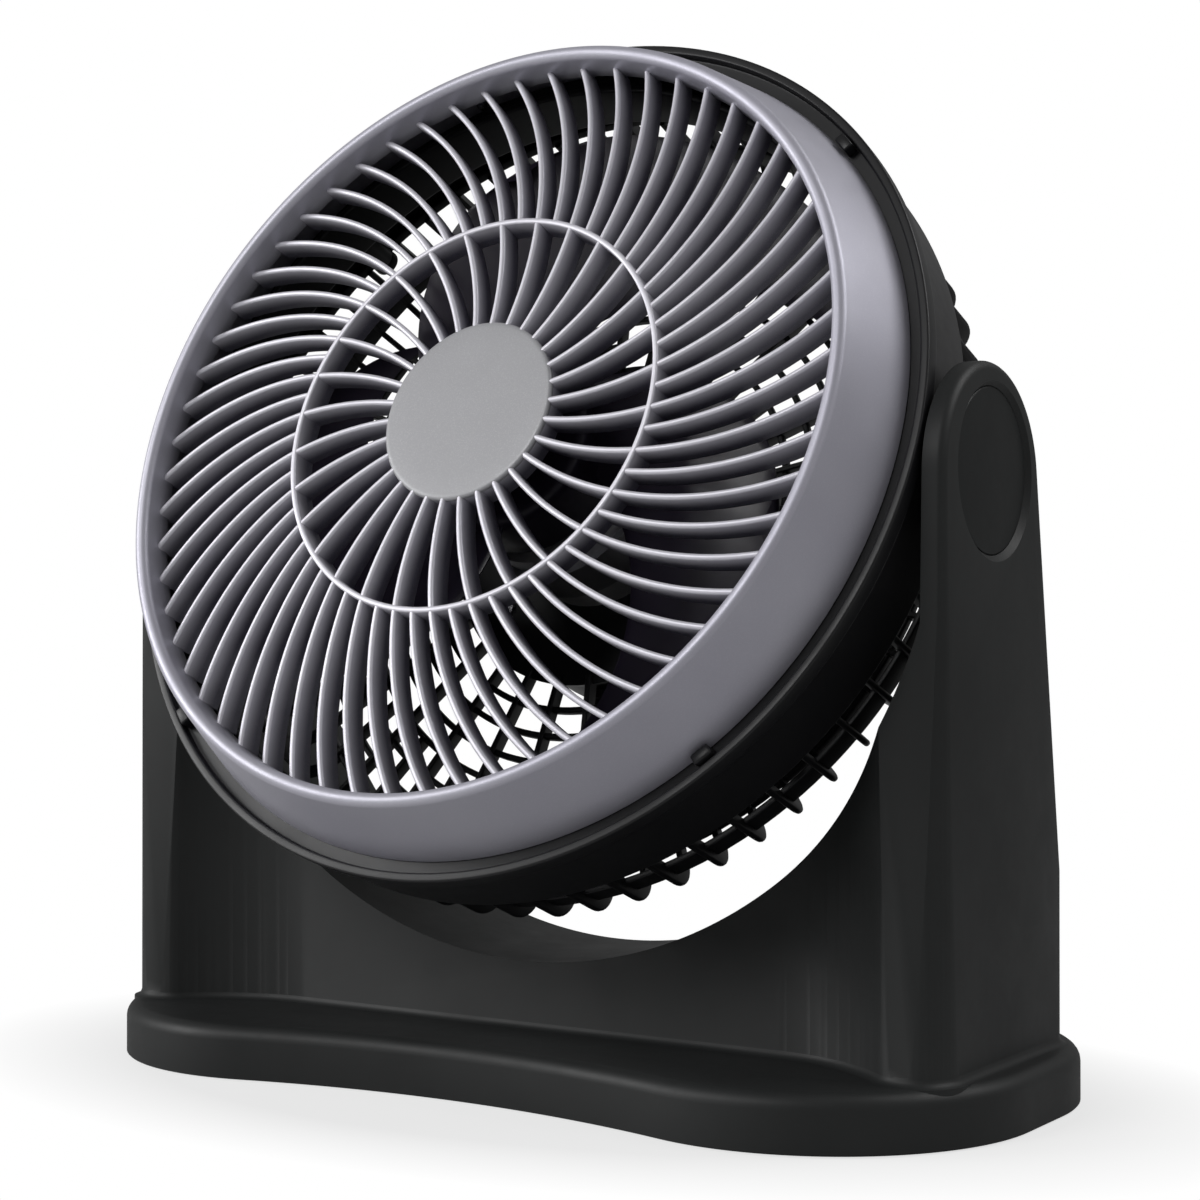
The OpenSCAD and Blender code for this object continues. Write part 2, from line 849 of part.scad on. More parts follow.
module rear_guard() {
    color(black_color)
        in_head()
            difference() {
                union() {
                    for (k = [0:fin_count - 1])
                        rotate([0, 0, fin_phase + k * 360 / fin_count])
                            fin(k % 2 == 0 ? hoop_last - 2 : fin_stop_r);
                    for (k = [1:hoop_n])
                        translate([0, 0, 1 - guard_back])
                            ring(hoop_last + k * hoop_pitch + hoop_t / 2,
                                hoop_last + k * hoop_pitch - hoop_t / 2, 3);
                    translate([0, 0, -guard_back + 10])
                        ring(fin_r - 2.8, fin_r - 4.4, band_w);
                    translate([0, 0, duct_back - 1])
                        ring(duct_r - duct_wall - 0.3, guard_post_r + 3.4, 3.5);
                    for (a = guard_angles)
                        rotate([0, 0, a])
                            translate([guard_post_r, 0, duct_back])
                                cylinder(r = 4.5, h = 3);
                    translate([0, 0, -plate_back])
                        ring(hoop_last - 0.5, 20, plate_back + plate_front);
                }
                for (a = guard_angles)
                    rotate([0, 0, a])
                        translate([guard_post_r, 0, -1])
                            cylinder(r = 1.7, h = 20);
                for (a = [45:90:315])
                    rotate([0, 0, a]) {
                        translate([bolt_circle_r, 0, -guard_back - 1])
                            cylinder(r = 2.1, h = 6);
                        translate([cover_post_r, 0, -guard_back - 1])
                            cylinder(r = 1.7, h = 6);
                    }
            }
}

module guard_screws() {
    color(steel_color)
        in_head()
            for (a = guard_angles)
                rotate([0, 0, a])
                    translate([guard_post_r, 0, duct_back - 1.6])
                        pan_screw(1.5, 11, 3, 1.6);
}

// ---- motor ----

module front_end_shield() {
    color(steel_color)
        in_head()
            difference() {
                union() {
                    translate([0, 0, core_front])
                        cylinder(r = core_r - 2, h = shield_t);
                    translate([0, 0, shield_front])
                        cylinder(r = bearing_r + 4, h = 3);
                }
                translate([0, 0, core_front - 1])
                    cylinder(r = core_r - 4, h = shield_t - 1);
                translate([0, 0, core_front - 1])
                    cylinder(r = bearing_r, h = shield_t + 2.5);
                cylinder(r = shaft_r + 1.2, h = 60);
                for (a = [45:90:315])
                    rotate([0, 0, a])
                        translate([bolt_circle_r, 0, core_front - 1])
                            cylinder(r = 2.1, h = 20);
            }
}

module rear_end_shield() {
    color(steel_color)
        in_head()
            difference() {
                union() {
                    translate([0, 0, plate_front])
                        cylinder(r = core_r - 2, h = core_back - plate_front);
                    translate([0, 0, plate_front - bearing_l - 2])
                        cylinder(r = bearing_r + 3, h = bearing_l + 3);
                }
                translate([0, 0, plate_front + 2])
                    cylinder(r = core_r - 4, h = 20);
                translate([0, 0, plate_front - bearing_l])
                    cylinder(r = bearing_r, h = 20);
                for (a = [45:90:315])
                    rotate([0, 0, a])
                        translate([bolt_circle_r, 0, plate_front - 1])
                            cylinder(r = 2.1, h = 20);
            }
}

module bearing() {
    ring(bearing_r, shaft_r + shaft_fit, bearing_l);
}

module front_bearing() {
    color([0.72, 0.56, 0.3])
        in_head()
            translate([0, 0, core_front + shield_t + 1.5 - bearing_l])
                bearing();
}

module rear_bearing() {
    color([0.72, 0.56, 0.3])
        in_head()
            translate([0, 0, plate_front - bearing_l])
                bearing();
}

module stator_core() {
    color([0.5, 0.5, 0.52])
        in_head()
            translate([0, 0, core_back])
                difference() {
                    cylinder(r = core_r, h = core_t);
                    translate([0, 0, -1])
                        cylinder(r = core_bore_r, h = core_t + 2);
                    for (a = [0:60:300])
                        rotate([0, 0, a])
                            translate([core_bore_r - 3, -3, -1])
                                cube([8, 6, core_t + 2]);
                    for (a = [45:90:315])
                        rotate([0, 0, a])
                            translate([bolt_circle_r, 0, -1])
                                cylinder(r = 2.1, h = core_t + 2);
                }
}

module stator_windings() {
    color([0.65, 0.3, 0.15])
        in_head()
            union() {
                translate([0, 0, core_back - 5])
                    ring(core_bore_r + 5, core_bore_r + 0.5, 5);
                translate([0, 0, core_front])
                    ring(core_bore_r + 5, core_bore_r + 0.5, 5);
            }
}

module motor_bolts() {
    color(steel_color)
        in_head()
            for (a = [45:90:315])
                rotate([0, 0, a])
                    translate([bolt_circle_r, 0, -plate_back - 2.5])
                        pan_screw(2, plate_back + shield_front, 3.6, 2.5);
}

// ---- motor cover and controls ----

module motor_cover() {
    color(black_color)
        in_head()
            difference() {
                union() {
                    translate([0, 0, -cup_back])
                        difference() {
                            rotate_extrude() {
                                square([cup_r - cup_edge_r, cup_depth]);
                                translate([0, cup_edge_r])
                                    square([cup_r, cup_depth - cup_edge_r]);
                                translate([cup_r - cup_edge_r, cup_edge_r])
                                    circle(r = cup_edge_r);
                            }
                            translate([0, 0, cup_wall])
                                rotate_extrude() {
                                    square([cup_r - cup_edge_r, cup_depth]);
                                    translate([0, cup_edge_r - cup_wall])
                                        square([cup_r - cup_wall, cup_depth]);
                                    translate([cup_r - cup_edge_r, cup_edge_r - cup_wall])
                                        circle(r = cup_edge_r - cup_wall);
                                }
                        }
                    for (a = [45:90:315])
                        rotate([0, 0, a])
                            translate([cover_post_r, 0, 0.5 - cup_back])
                                cylinder(r = 4, h = cup_depth - 0.5);
                }
                for (a = [45:90:315])
                    rotate([0, 0, a])
                        translate([cover_post_r, 0, -plate_back - 11])
                            cylinder(r = 1.55, h = 12);
                translate([0, 0, -cup_back - 1])
                    cylinder(r = 5, h = 10);
                for (k = [-3:3])
                    translate([k * 7 - 1.5, 25, -cup_back - 1])
                        cube([3, 14, 5]);
                translate([0, 0, -inlet_back])
                    rotate([90, 0, 0])
                        cylinder(r = 5.5, h = 80);
            }
}

module cover_screws() {
    color(steel_color)
        in_head()
            for (a = [45:90:315])
                rotate([0, 0, a])
                    translate([cover_post_r, 0, plate_front + 1.6])
                        rotate([180, 0, 0])
                            pan_screw(1.5, 11, 3, 1.6);
}

module speed_switch() {
    color([0.2, 0.2, 0.22])
        in_head()
            difference() {
                union() {
                    translate([-12, -12, cup_wall - cup_back])
                        cube([24, 24, 14]);
                    for (k = [-1:1])
                        translate([k * 7 - 1.5, -3, cup_wall - cup_back + 13])
                            cube([3, 6, 5]);
                }
                translate([0, 0, -cup_back])
                    cylinder(r = 3.06, h = 11);
            }
}

module capacitor() {
    color([0.78, 0.78, 0.76])
        in_head()
            translate([-19, 15, cup_wall - cup_back])
                cube([38, 8, 20]);
}

module cord_gland() {
    color([0.08, 0.08, 0.085])
        in_head()
            translate([0, 0, -inlet_back])
                rotate([90, 0, 0])
                    difference() {
                        union() {
                            translate([0, 0, cup_r - 5])
                                cylinder(r = 5.45, h = 5);
                            translate([0, 0, cup_r + 0.3])
                                cylinder(r = 7.5, h = 3);
                            translate([0, 0, cup_r - 1])
                                cylinder(r = 5.45, h = 12);
                            translate([0, 0, cup_r - 6])
                                cylinder(r = 6.8, h = 3.2);
                        }
                        cylinder(r = 3, h = 90);
                    }
}

module speed_knob() {
    color(black_color)
        in_head()
            translate([0, 0, -cup_back]) {
                difference() {
                    union() {
                        translate([0, 0, -knob_h - 0.5])
                            cylinder(r = knob_r, h = knob_h);
                        translate([-2, 0, -knob_h - 1.2])
                            cube([4, knob_r - 1, 1]);
                    }
                    for (k = [0:knob_flutes - 1])
                        rotate([0, 0, (k + 0.5) * 360 / knob_flutes])
                            translate([knob_r + 1.2, 0, -knob_h - 2])
                                cylinder(r = 2.2, h = knob_h - 1, $fn = 32);
                }
                translate([0, 0, -1])
                    cylinder(r = 3, h = 11);
            }
}

// ---- fan ----

function blade_r(v) = hub_r - 2 + (tip_r - hub_r + 2) * v;
function blade_a(u, v) = (u - 0.5) * blade_sweep * (0.62 + 0.38 * v) * (1 - 0.12 * v)
    - blade_skew * v;
function blade_point(u, v, lift) = let (
    round = 1 - 0.16 * pow(v, 6) * pow(abs(2 * u - 1), 4),
    a = blade_a(u, v),
    r = blade_r(v) * (v > 0.5 ? round : 1),
    s = hub_front - 4 - (1 - u) * (11 + 31 * v)
) [r * cos(a), r * sin(a), s + lift];

module blade() {
    m = 14;
    n = 12;
    side = (m + 1) * (n + 1);
    points = [
        for (lift = [0, blade_t], i = [0:m], j = [0:n])
            blade_point(i / m, j / n, lift)
    ];
    low = [
        for (i = [0:m - 1], j = [0:n - 1], h = [0, 1])
            let (p = i * (n + 1) + j)
                h == 0 ? [p, p + 1, p + n + 2] : [p, p + n + 2, p + n + 1]
    ];
    high = [for (f = low) [f[0] + side, f[2] + side, f[1] + side]];
    rim = concat([for (j = [0:n]) j], [for (i = [1:m]) i * (n + 1) + n],
        [for (j = [n - 1:-1:0]) m * (n + 1) + j], [for (i = [m - 1:-1:1]) i * (n + 1)]);
    walls = [
        for (k = [0:len(rim) - 1], h = [0, 1])
            let (p = rim[k], q = rim[(k + 1) % len(rim)])
                h == 0 ? [p, q + side, q] : [p, p + side, q + side]
    ];
    polyhedron(points = points, faces = concat(low, high, walls));
}

module impeller() {
    color([0.1, 0.09, 0.12])
        in_head()
            difference() {
                union() {
                    for (k = [0:blade_count - 1])
                        rotate([0, 0, blade_phase + k * 360 / blade_count])
                            blade();
                    translate([0, 0, hub_back])
                        cylinder(r = hub_r, h = hub_depth);
                }
                translate([0, 0, hub_back - 1])
                    difference() {
                        cylinder(r = hub_r - 2.4, h = hub_depth - 1.6);
                        translate([0, 0, shield_front + 4.5 - hub_back + 1])
                            cylinder(r = bearing_r, h = 40);
                    }
                cylinder(r = shaft_r + shaft_fit, h = 80);
            }
}

module blade_nut() {
    color(black_color)
        in_head()
            translate([0, 0, hub_front])
                difference() {
                    union() {
                        cylinder(r = 9, h = 5);
                        cylinder(r = 6, h = 8);
                    }
                    translate([0, 0, -1])
                        cylinder(r = shaft_r + shaft_fit, h = 6.5);
                }
}

module motor_shaft() {
    color(steel_color)
        in_head()
            translate([0, 0, plate_front - 4.8])
                cylinder(r = shaft_r, h = hub_front + 5 - plate_front + 4.8);
}

module rotor_core() {
    color([0.55, 0.55, 0.57])
        in_head()
            translate([0, 0, core_back - 2])
                difference() {
                    cylinder(r = core_bore_r - rotor_gap, h = core_t + 4);
                    translate([0, 0, -1])
                        cylinder(r = shaft_r + 0.01, h = core_t + 8);
                }
}

stand_shell();
base_cover();
rubber_feet();
base_screws();
left_pivot_cap();
right_pivot_cap();
duct_housing();
pivot_screws();
retaining_washers();
friction_washers();
front_grille();
hub_disc();
grille_screws();
grille_clips();
rear_guard();
guard_screws();
front_end_shield();
rear_end_shield();
stator_core();
stator_windings();
front_bearing();
rear_bearing();
motor_bolts();
motor_cover();
cover_screws();
speed_switch();
capacitor();
cord_gland();
impeller();
blade_nut();
motor_shaft();
rotor_core();
speed_knob();
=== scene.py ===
import bpy
import bmesh
import json
from math import sin, cos, radians, pi, sqrt, atan2, acos, degrees, hypot
from mathutils import Vector, Matrix


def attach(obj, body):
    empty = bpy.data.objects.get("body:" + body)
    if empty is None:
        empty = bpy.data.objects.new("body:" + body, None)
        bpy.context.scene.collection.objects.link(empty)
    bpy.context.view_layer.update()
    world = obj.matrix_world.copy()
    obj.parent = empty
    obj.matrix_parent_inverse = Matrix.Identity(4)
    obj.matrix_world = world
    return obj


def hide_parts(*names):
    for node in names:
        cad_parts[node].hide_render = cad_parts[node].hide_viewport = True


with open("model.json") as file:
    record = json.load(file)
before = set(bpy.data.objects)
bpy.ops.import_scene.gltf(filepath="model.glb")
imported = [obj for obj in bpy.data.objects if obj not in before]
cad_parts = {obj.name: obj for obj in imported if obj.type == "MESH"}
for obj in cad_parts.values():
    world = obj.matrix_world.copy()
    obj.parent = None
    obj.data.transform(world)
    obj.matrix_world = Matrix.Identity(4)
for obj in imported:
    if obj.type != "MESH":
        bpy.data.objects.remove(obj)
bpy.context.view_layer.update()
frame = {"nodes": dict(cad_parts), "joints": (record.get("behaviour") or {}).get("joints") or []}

mm = 0.001
joints = {joint["name"]: joint for joint in frame["joints"]}
fanAxis = Vector(joints["fan_spin"]["axis"]).normalized()
pivot = Vector(joints["fan_spin"]["pos_m"]) / mm
restTilt = atan2(fanAxis.z, -fanAxis.y)


# places

def headSpace():
    # x to the right, y up the head, z forward along the fan axis, in millimetres
    return Matrix.Translation(pivot) @ Matrix.Rotation(pi / 2 - restTilt, 4, "X")


def sideSpace(side):
    # z runs outward along X from the tilt axis
    return Matrix.Translation(pivot) @ Matrix.Rotation(side * pi / 2, 4, "Y")


head = headSpace()
world = Matrix.Identity(4)


def spin(degreesTurned):
    return Matrix.Rotation(radians(degreesTurned), 4, "Z")


def shift(x, y, z):
    return Matrix.Translation((x, y, z))


# shader maths

class Signal:
    # one output socket, with the operators that the finishes use
    def __init__(self, finish, socket):
        self.finish = finish
        self.socket = socket

    def maths(self, operation, first, second):
        return self.finish.node("Math", {"operation": operation}, {0: first, 1: second})

    def __add__(self, other): return self.maths("ADD", self, other)
    def __radd__(self, other): return self.maths("ADD", other, self)
    def __sub__(self, other): return self.maths("SUBTRACT", self, other)
    def __rsub__(self, other): return self.maths("SUBTRACT", other, self)
    def __mul__(self, other): return self.maths("MULTIPLY", self, other)
    def __rmul__(self, other): return self.maths("MULTIPLY", other, self)


class Finish:
    # one material and its nodes
    def __init__(self, name):
        self.material = bpy.data.materials.new(name)
        self.material.use_nodes = True
        self.tree = self.material.node_tree
        self.tree.nodes.clear()
        self.out = self.tree.nodes.new("ShaderNodeOutputMaterial")

    def node(self, kind, settings=None, inputs=None, output=0):
        made = self.tree.nodes.new("ShaderNode" + kind)
        for key, value in (settings or {}).items():
            if key == "stops":
                self.setStops(made.color_ramp, value)
            else:
                setattr(made, key, value)
        for key, value in (inputs or {}).items():
            self.join(value, made.inputs[key])
        return Signal(self, made.outputs[output])

    def join(self, value, socket):
        if isinstance(value, Signal):
            self.tree.links.new(value.socket, socket)
        elif isinstance(value, tuple) and len(value) == 3 and socket.type == "RGBA":
            socket.default_value = (*value, 1)
        else:
            socket.default_value = value

    def setStops(self, ramp, stops):
        while len(ramp.elements) < len(stops):
            ramp.elements.new(1)
        for element, (place, colour) in zip(ramp.elements, stops):
            element.position = place
            element.color = (*colour, 1) if isinstance(colour, tuple) else (colour,) * 3 + (1,)

    def place(self):
        return self.node("TexCoord", output="Object")

    def noise(self, scale, detail=3, rough=0.55, where=None):
        return self.node("TexNoise", {"noise_dimensions": "3D"}, {
            "Vector": where or self.place(), "Scale": scale, "Detail": detail,
            "Roughness": rough})

    def span(self, value, low, high, toLow, toHigh):
        return self.node("MapRange", {"clamp": True}, {
            0: value, 1: low, 2: high, 3: toLow, 4: toHigh})

    def blend(self, factor, first, second):
        return self.node("Mix", {"data_type": "RGBA"}, {0: factor, 6: first, 7: second},
                         output=2)

    def bump(self, height, strength, distance, under=None):
        inputs = {"Height": height, "Strength": strength, "Distance": distance}
        if under:
            inputs["Normal"] = under
        return self.node("Bump", {}, inputs)

    def surface(self, **inputs):
        named = {key[0].upper() + key[1:]: value for key, value in inputs.items()}
        spaced = {"BaseColor": "Base Color", "CoatWeight": "Coat Weight",
                  "CoatRoughness": "Coat Roughness", "SpecularLevel": "Specular IOR Level"}
        shader = self.node("BsdfPrincipled", {}, {
            spaced.get(key, key): value for key, value in named.items()})
        self.tree.links.new(shader.socket, self.out.inputs["Surface"])
        return self.material


def shade(colour, amount):
    return tuple(channel * amount for channel in colour)


# finishes

mouldedLook = {
    # name: colour, roughness, spark-eroded grain scale, grain depth, specular level
    "standPlastic": ((0.015, 0.016, 0.016), 0.5, 2600, 0.05, 0.24),
    "ductPlastic": ((0.008, 0.008, 0.009), 0.38, 2200, 0.05, 0.30),
    "guardPlastic": ((0.007, 0.007, 0.008), 0.42, 2200, 0.06, 0.25),
    "coverPlastic": ((0.012, 0.012, 0.013), 0.45, 1800, 0.10, 0.30),
    "knobPlastic": ((0.015, 0.015, 0.016), 0.36, 2400, 0.05, 0.35),
    "capPlastic": ((0.009, 0.010, 0.010), 0.42, 2600, 0.05, 0.18),
}


def mouldedPlastic(name):
    # satin moulded plastic: fine eroded grain, slow tone changes, handling marks
    colour, rough, grain, depth, specular = mouldedLook[name]
    f = Finish(name)
    cloud = f.noise(18, 4)
    smudge = f.noise(55, 5, 0.65)
    fine = f.noise(grain, 2, 0.5)
    tone = f.span(cloud, 0.3, 0.7, 0.0, 1.0)
    base = f.blend(tone, shade(colour, 0.88), shade(colour, 1.14))
    roughness = f.span(smudge, 0.25, 0.75, rough - 0.05, rough + 0.07)
    skin = f.bump(fine, depth, 0.0002)
    swell = f.bump(cloud, 0.03, 0.002, skin)
    return f.surface(baseColor=base, roughness=roughness, normal=swell,
                     specularLevel=specular)


silverLook = {
    # name: body colours, roughness, metal share
    "silver": ((0.385, 0.378, 0.440), (0.435, 0.430, 0.485), 0.46, 0.45),
    # the slats' silver is the bezel's silver painted lighter, a lit copy standing in for the light
    # on the slat noses
    "slatSilverLit": ((0.570, 0.560, 0.615), (0.630, 0.620, 0.670), 0.46, 0.38),
    "discSilver": ((0.285, 0.285, 0.298), (0.296, 0.296, 0.310), 0.42, 0.10),
}


paintedShade = {
    # painted shade on walls behind the slat fronts: the front at the middle ring and its fall
    # towards the bezel, in metres
    "front": 0.0553, "fall": 0.0038, "fallFrom": 0.065, "fallTo": 0.1226,
    "start": 0.0014, "end": 0.0062, "wallFrom": 0.1226, "wallTo": 0.1240,
    "shadow": {"slatSilverLit": (0.170, 0.164, 0.210), "silver": (0.060, 0.058, 0.072)},
}


def shadeDepth(f):
    # how far a point lies behind the slat fronts, and how far it is from the head axis
    p = paintedShade
    apart = f.node("VectorMath", {"operation": "SUBTRACT"}, {0: f.place(), 1: tuple(pivot * mm)})
    along = f.node("VectorMath", {"operation": "DOT_PRODUCT"}, {0: apart, 1: tuple(fanAxis)},
                   output="Value")
    lift = f.node("VectorMath", {"operation": "SCALE"}, {0: tuple(fanAxis), "Scale": along})
    across = f.node("VectorMath", {"operation": "SUBTRACT"}, {0: apart, 1: lift})
    radius = f.node("VectorMath", {"operation": "LENGTH"}, {0: across}, output="Value")
    front = f.span(radius, p["fallFrom"], p["fallTo"], p["front"], p["front"] - p["fall"])
    return front - along, radius


def silverPaint(name):
    # silver paint with metallic flecks, and painted shade that darkens walls lying deep behind the
    # slat fronts
    deep, light, rough, share = silverLook[name]
    f = Finish(name)
    cloud = f.noise(14, 3)
    fleck = f.node("TexVoronoi", {"feature": "F1"}, {
        "Vector": f.place(), "Scale": 5200, "Randomness": 1.0}, output="Color")
    spark = f.node("SeparateColor", {}, {"Color": fleck})
    tone = f.span(cloud, 0.3, 0.7, 0.0, 1.0)
    body = f.blend(tone, deep, light)
    if name in paintedShade["shadow"]:
        p = paintedShade
        below, radius = shadeDepth(f)
        # painted shade: darker with depth behind the slat fronts, only inside the bezel's inner
        # wall; thin is this painted shade's depth ramp
        thin = f.span(below, p["start"], p["end"], 0.0, 1.0)
        inside = f.span(radius, p["wallFrom"], p["wallTo"], 1.0, 0.0)
        body = f.blend(thin * inside, body, p["shadow"][name])
    base = f.blend(f.span(spark, 0.75, 1.0, 0.0, 0.2), body, (0.62, 0.62, 0.66))
    metal = f.span(spark, 0.0, 1.0, share - 0.1, share + 0.1)
    roughness = f.span(f.noise(70, 4, 0.6), 0.3, 0.7, rough - 0.04, rough + 0.05)
    skin = f.bump(f.noise(3000, 2), 0.035, 0.0002)
    return f.surface(baseColor=base, roughness=roughness, metallic=metal, normal=skin)


bladeLook = {"light": (0.017, 0.013, 0.024), "deep": (0.009, 0.007, 0.013)}


def bladePlastic(name):
    # dark smoky polystyrene with faint flow lines from the hub
    f = Finish(name)
    flow = f.noise(9, 5, 0.6)
    base = f.blend(f.span(flow, 0.3, 0.7, 0.0, 1.0), bladeLook["deep"], bladeLook["light"])
    roughness = f.span(f.noise(40, 4), 0.3, 0.7, 0.3, 0.42)
    skin = f.bump(flow, 0.05, 0.002)
    return f.surface(baseColor=base, roughness=roughness, normal=skin, specularLevel=0.2,
                     coatWeight=0.06, coatRoughness=0.12)


def rubberSkin(name):
    f = Finish(name)
    dust = f.span(f.noise(120, 5, 0.7), 0.5, 0.75, 0.0, 0.5)
    base = f.blend(dust, (0.012, 0.012, 0.012), (0.05, 0.048, 0.045))
    skin = f.bump(f.noise(1500, 3), 0.2, 0.0003)
    return f.surface(baseColor=base, roughness=f.span(dust, 0, 1, 0.72, 0.9), normal=skin)


def platedSteel(name, colour=(0.66, 0.66, 0.68), stretch=(1, 1, 1), scale=260):
    # turned and plated: fine tool lines that break up the reflection
    f = Finish(name)
    lined = f.node("Mapping", {}, {"Vector": f.place(), "Scale": stretch})
    lines = f.noise(scale, 4, 0.7, lined)
    patina = f.noise(90, 3)
    base = f.blend(f.span(patina, 0.3, 0.7, 0.0, 1.0), shade(colour, 0.82), colour)
    roughness = f.span(lines, 0.3, 0.7, 0.2, 0.38)
    return f.surface(baseColor=base, metallic=1.0, roughness=roughness,
                     normal=f.bump(lines, 0.08, 0.0003))


def laminatedSteel(name):
    # thin stacked sheets seen on their edges, along the fan axis
    f = Finish(name)
    along = f.node("VectorMath", {"operation": "DOT_PRODUCT"}, {
        0: f.place(), 1: tuple(fanAxis)}, output="Value")
    sheet = f.node("Math", {"operation": "PINGPONG"}, {0: along, 1: 0.00025})
    joint = f.span(sheet, 0.0, 0.00008, 1.0, 0.0)
    base = f.blend(joint, (0.34, 0.34, 0.36), (0.06, 0.055, 0.05))
    return f.surface(baseColor=base, metallic=0.9, roughness=f.span(joint, 0, 1, 0.35, 0.7),
                     normal=f.bump(joint, 0.3, 0.0002))


def copperCoil(name):
    # round wire laid side by side under varnish
    f = Finish(name)
    along = f.node("VectorMath", {"operation": "DOT_PRODUCT"}, {
        0: f.place(), 1: tuple(fanAxis)}, output="Value")
    wire = f.node("Math", {"operation": "PINGPONG"}, {0: along, 1: 0.00022})
    groove = f.span(wire, 0.0, 0.00022, 1.0, 0.0)
    base = f.blend(groove, (0.50, 0.19, 0.07), (0.16, 0.05, 0.02))
    return f.surface(baseColor=base, metallic=0.75, roughness=f.span(groove, 0, 1, 0.3, 0.5),
                     coatWeight=0.4, coatRoughness=0.2, normal=f.bump(1 - groove, 0.5, 0.0003))


def castAlloy(name):
    f = Finish(name)
    grit = f.noise(900, 4, 0.7)
    base = f.blend(f.span(f.noise(60, 4), 0.3, 0.7, 0.0, 1.0), (0.42, 0.42, 0.43),
                   (0.56, 0.56, 0.57))
    return f.surface(baseColor=base, metallic=0.9, roughness=f.span(grit, 0.3, 0.7, 0.42, 0.6),
                     normal=f.bump(grit, 0.25, 0.0003))


def sinteredBronze(name):
    f = Finish(name)
    pores = f.node("TexVoronoi", {"feature": "F1"}, {
        "Vector": f.place(), "Scale": 2200}, output="Distance")
    base = f.blend(f.span(pores, 0.1, 0.5, 0.0, 1.0), (0.20, 0.12, 0.05), (0.48, 0.31, 0.13))
    return f.surface(baseColor=base, metallic=0.85, roughness=0.42,
                     normal=f.bump(pores, 0.2, 0.0002))


def palePlastic(name, colour, rough):
    f = Finish(name)
    cloud = f.noise(80, 4)
    base = f.blend(f.span(cloud, 0.3, 0.7, 0.0, 1.0), shade(colour, 0.9), colour)
    return f.surface(baseColor=base, roughness=f.span(cloud, 0.3, 0.7, rough - 0.05, rough + 0.06),
                     normal=f.bump(f.noise(1600, 2), 0.08, 0.0002))


finishes = {name: mouldedPlastic(name) for name in mouldedLook}
finishes.update({name: silverPaint(name) for name in silverLook})
finishes["blade"] = bladePlastic("smokyBlade")
finishes["rubber"] = rubberSkin("footRubber")
finishes["steel"] = platedSteel("platedSteel")
finishes["shaft"] = platedSteel("groundShaft", (0.58, 0.58, 0.60), (1, 0.05, 0.05), 900)
finishes["core"] = laminatedSteel("coreSheets")
finishes["copper"] = copperCoil("woundCopper")
finishes["alloy"] = castAlloy("castAlloy")
finishes["bronze"] = sinteredBronze("sinteredBronze")
finishes["nylon"] = palePlastic("nylon", (0.62, 0.61, 0.56), 0.45)
finishes["switch"] = palePlastic("switchBody", (0.05, 0.05, 0.055), 0.4)
finishes["capacitor"] = palePlastic("capacitorCase", (0.55, 0.55, 0.50), 0.35)
print("finishes:", len(finishes))


# mesh helpers

def makePiece(name, vertices, faces, place, finish, sharp=32, merge=0.0):
    # vertices in millimetres in their own space, put where place says, in metres
    mesh = bpy.data.meshes.new(name)
    mesh.from_pydata([(place @ Vector(v)) * mm for v in vertices], [], faces)
    obj = bpy.data.objects.new(name, mesh)
    bpy.context.scene.collection.objects.link(obj)
    work = bmesh.new()
    work.from_mesh(mesh)
    if merge:
        bmesh.ops.remove_doubles(work, verts=work.verts, dist=merge * mm)
    bmesh.ops.recalc_face_normals(work, faces=work.faces)
    work.to_mesh(mesh)
    work.free()
    smoothBy(obj, sharp)
    mesh.materials.append(finishes[finish])
    return obj


def smoothBy(obj, sharp):
    mesh = obj.data
    for face in mesh.polygons:
        face.use_smooth = True
    work = bmesh.new()
    work.from_mesh(mesh)
    limit = radians(sharp)
    for edge in work.edges:
        edge.smooth = not (edge.is_manifold and edge.calc_face_angle(0) > limit)
    work.to_mesh(mesh)
    work.free()


class Build:
    # gathers many small shapes into one piece
    def __init__(self):
        self.vertices = []
        self.faces = []

    def add(self, vertices, faces, place=world):
        start = len(self.vertices)
        self.vertices += [tuple(place @ Vector(v)) for v in vertices]
        self.faces += [tuple(start + index for index in face) for face in faces]

    def piece(self, name, place, finish, sharp=32, merge=0.0):
        return makePiece(name, self.vertices, self.faces, place, finish, sharp, merge)


def latheShape(profile, steps=128, closed=True):
    # profile is [(radius, height)]; a closed profile is a ring section
    vertices, faces = [], []
    rows = len(profile)
    for k in range(steps):
        a = 2 * pi * k / steps
        vertices += [(r * cos(a), r * sin(a), z) for r, z in profile]
    last = rows if closed else rows - 1
    for k in range(steps):
        here, after = k * rows, (k + 1) % steps * rows
        for i in range(last):
            j = (i + 1) % rows
            faces.append((here + i, after + i, after + j, here + j))
    return vertices, faces


def discShape(profile, steps=96):
    # an open profile whose ends lie on the axis: both ends are capped
    vertices, faces = latheShape(profile[1:-1], steps, closed=False)
    rows = len(profile) - 2
    vertices += [(0, 0, profile[0][1]), (0, 0, profile[-1][1])]
    low, high = len(vertices) - 2, len(vertices) - 1
    for k in range(steps):
        here, after = k * rows, (k + 1) % steps * rows
        faces.append((low, after, here))
        faces.append((high, here + rows - 1, after + rows - 1))
    return vertices, faces


def softProfile(points, radius, steps=3, closed=True):
    # rounds each corner of a section; radius may be a list
    count = len(points)
    made = []
    for i, point in enumerate(points):
        r = radius[i] if isinstance(radius, (list, tuple)) else radius
        if not r or (not closed and i in (0, count - 1)):
            made.append(tuple(point))
            continue
        here = Vector(point)
        before = Vector(points[i - 1]) - here
        after = Vector(points[(i + 1) % count]) - here
        reach = min(r, before.length * 0.48, after.length * 0.48)
        a, b = here + before.normalized() * reach, here + after.normalized() * reach
        for k in range(steps + 1):
            t = k / steps
            p = a * (1 - t) ** 2 + here * 2 * t * (1 - t) + b * t ** 2
            made.append((p.x, p.y))
    return made


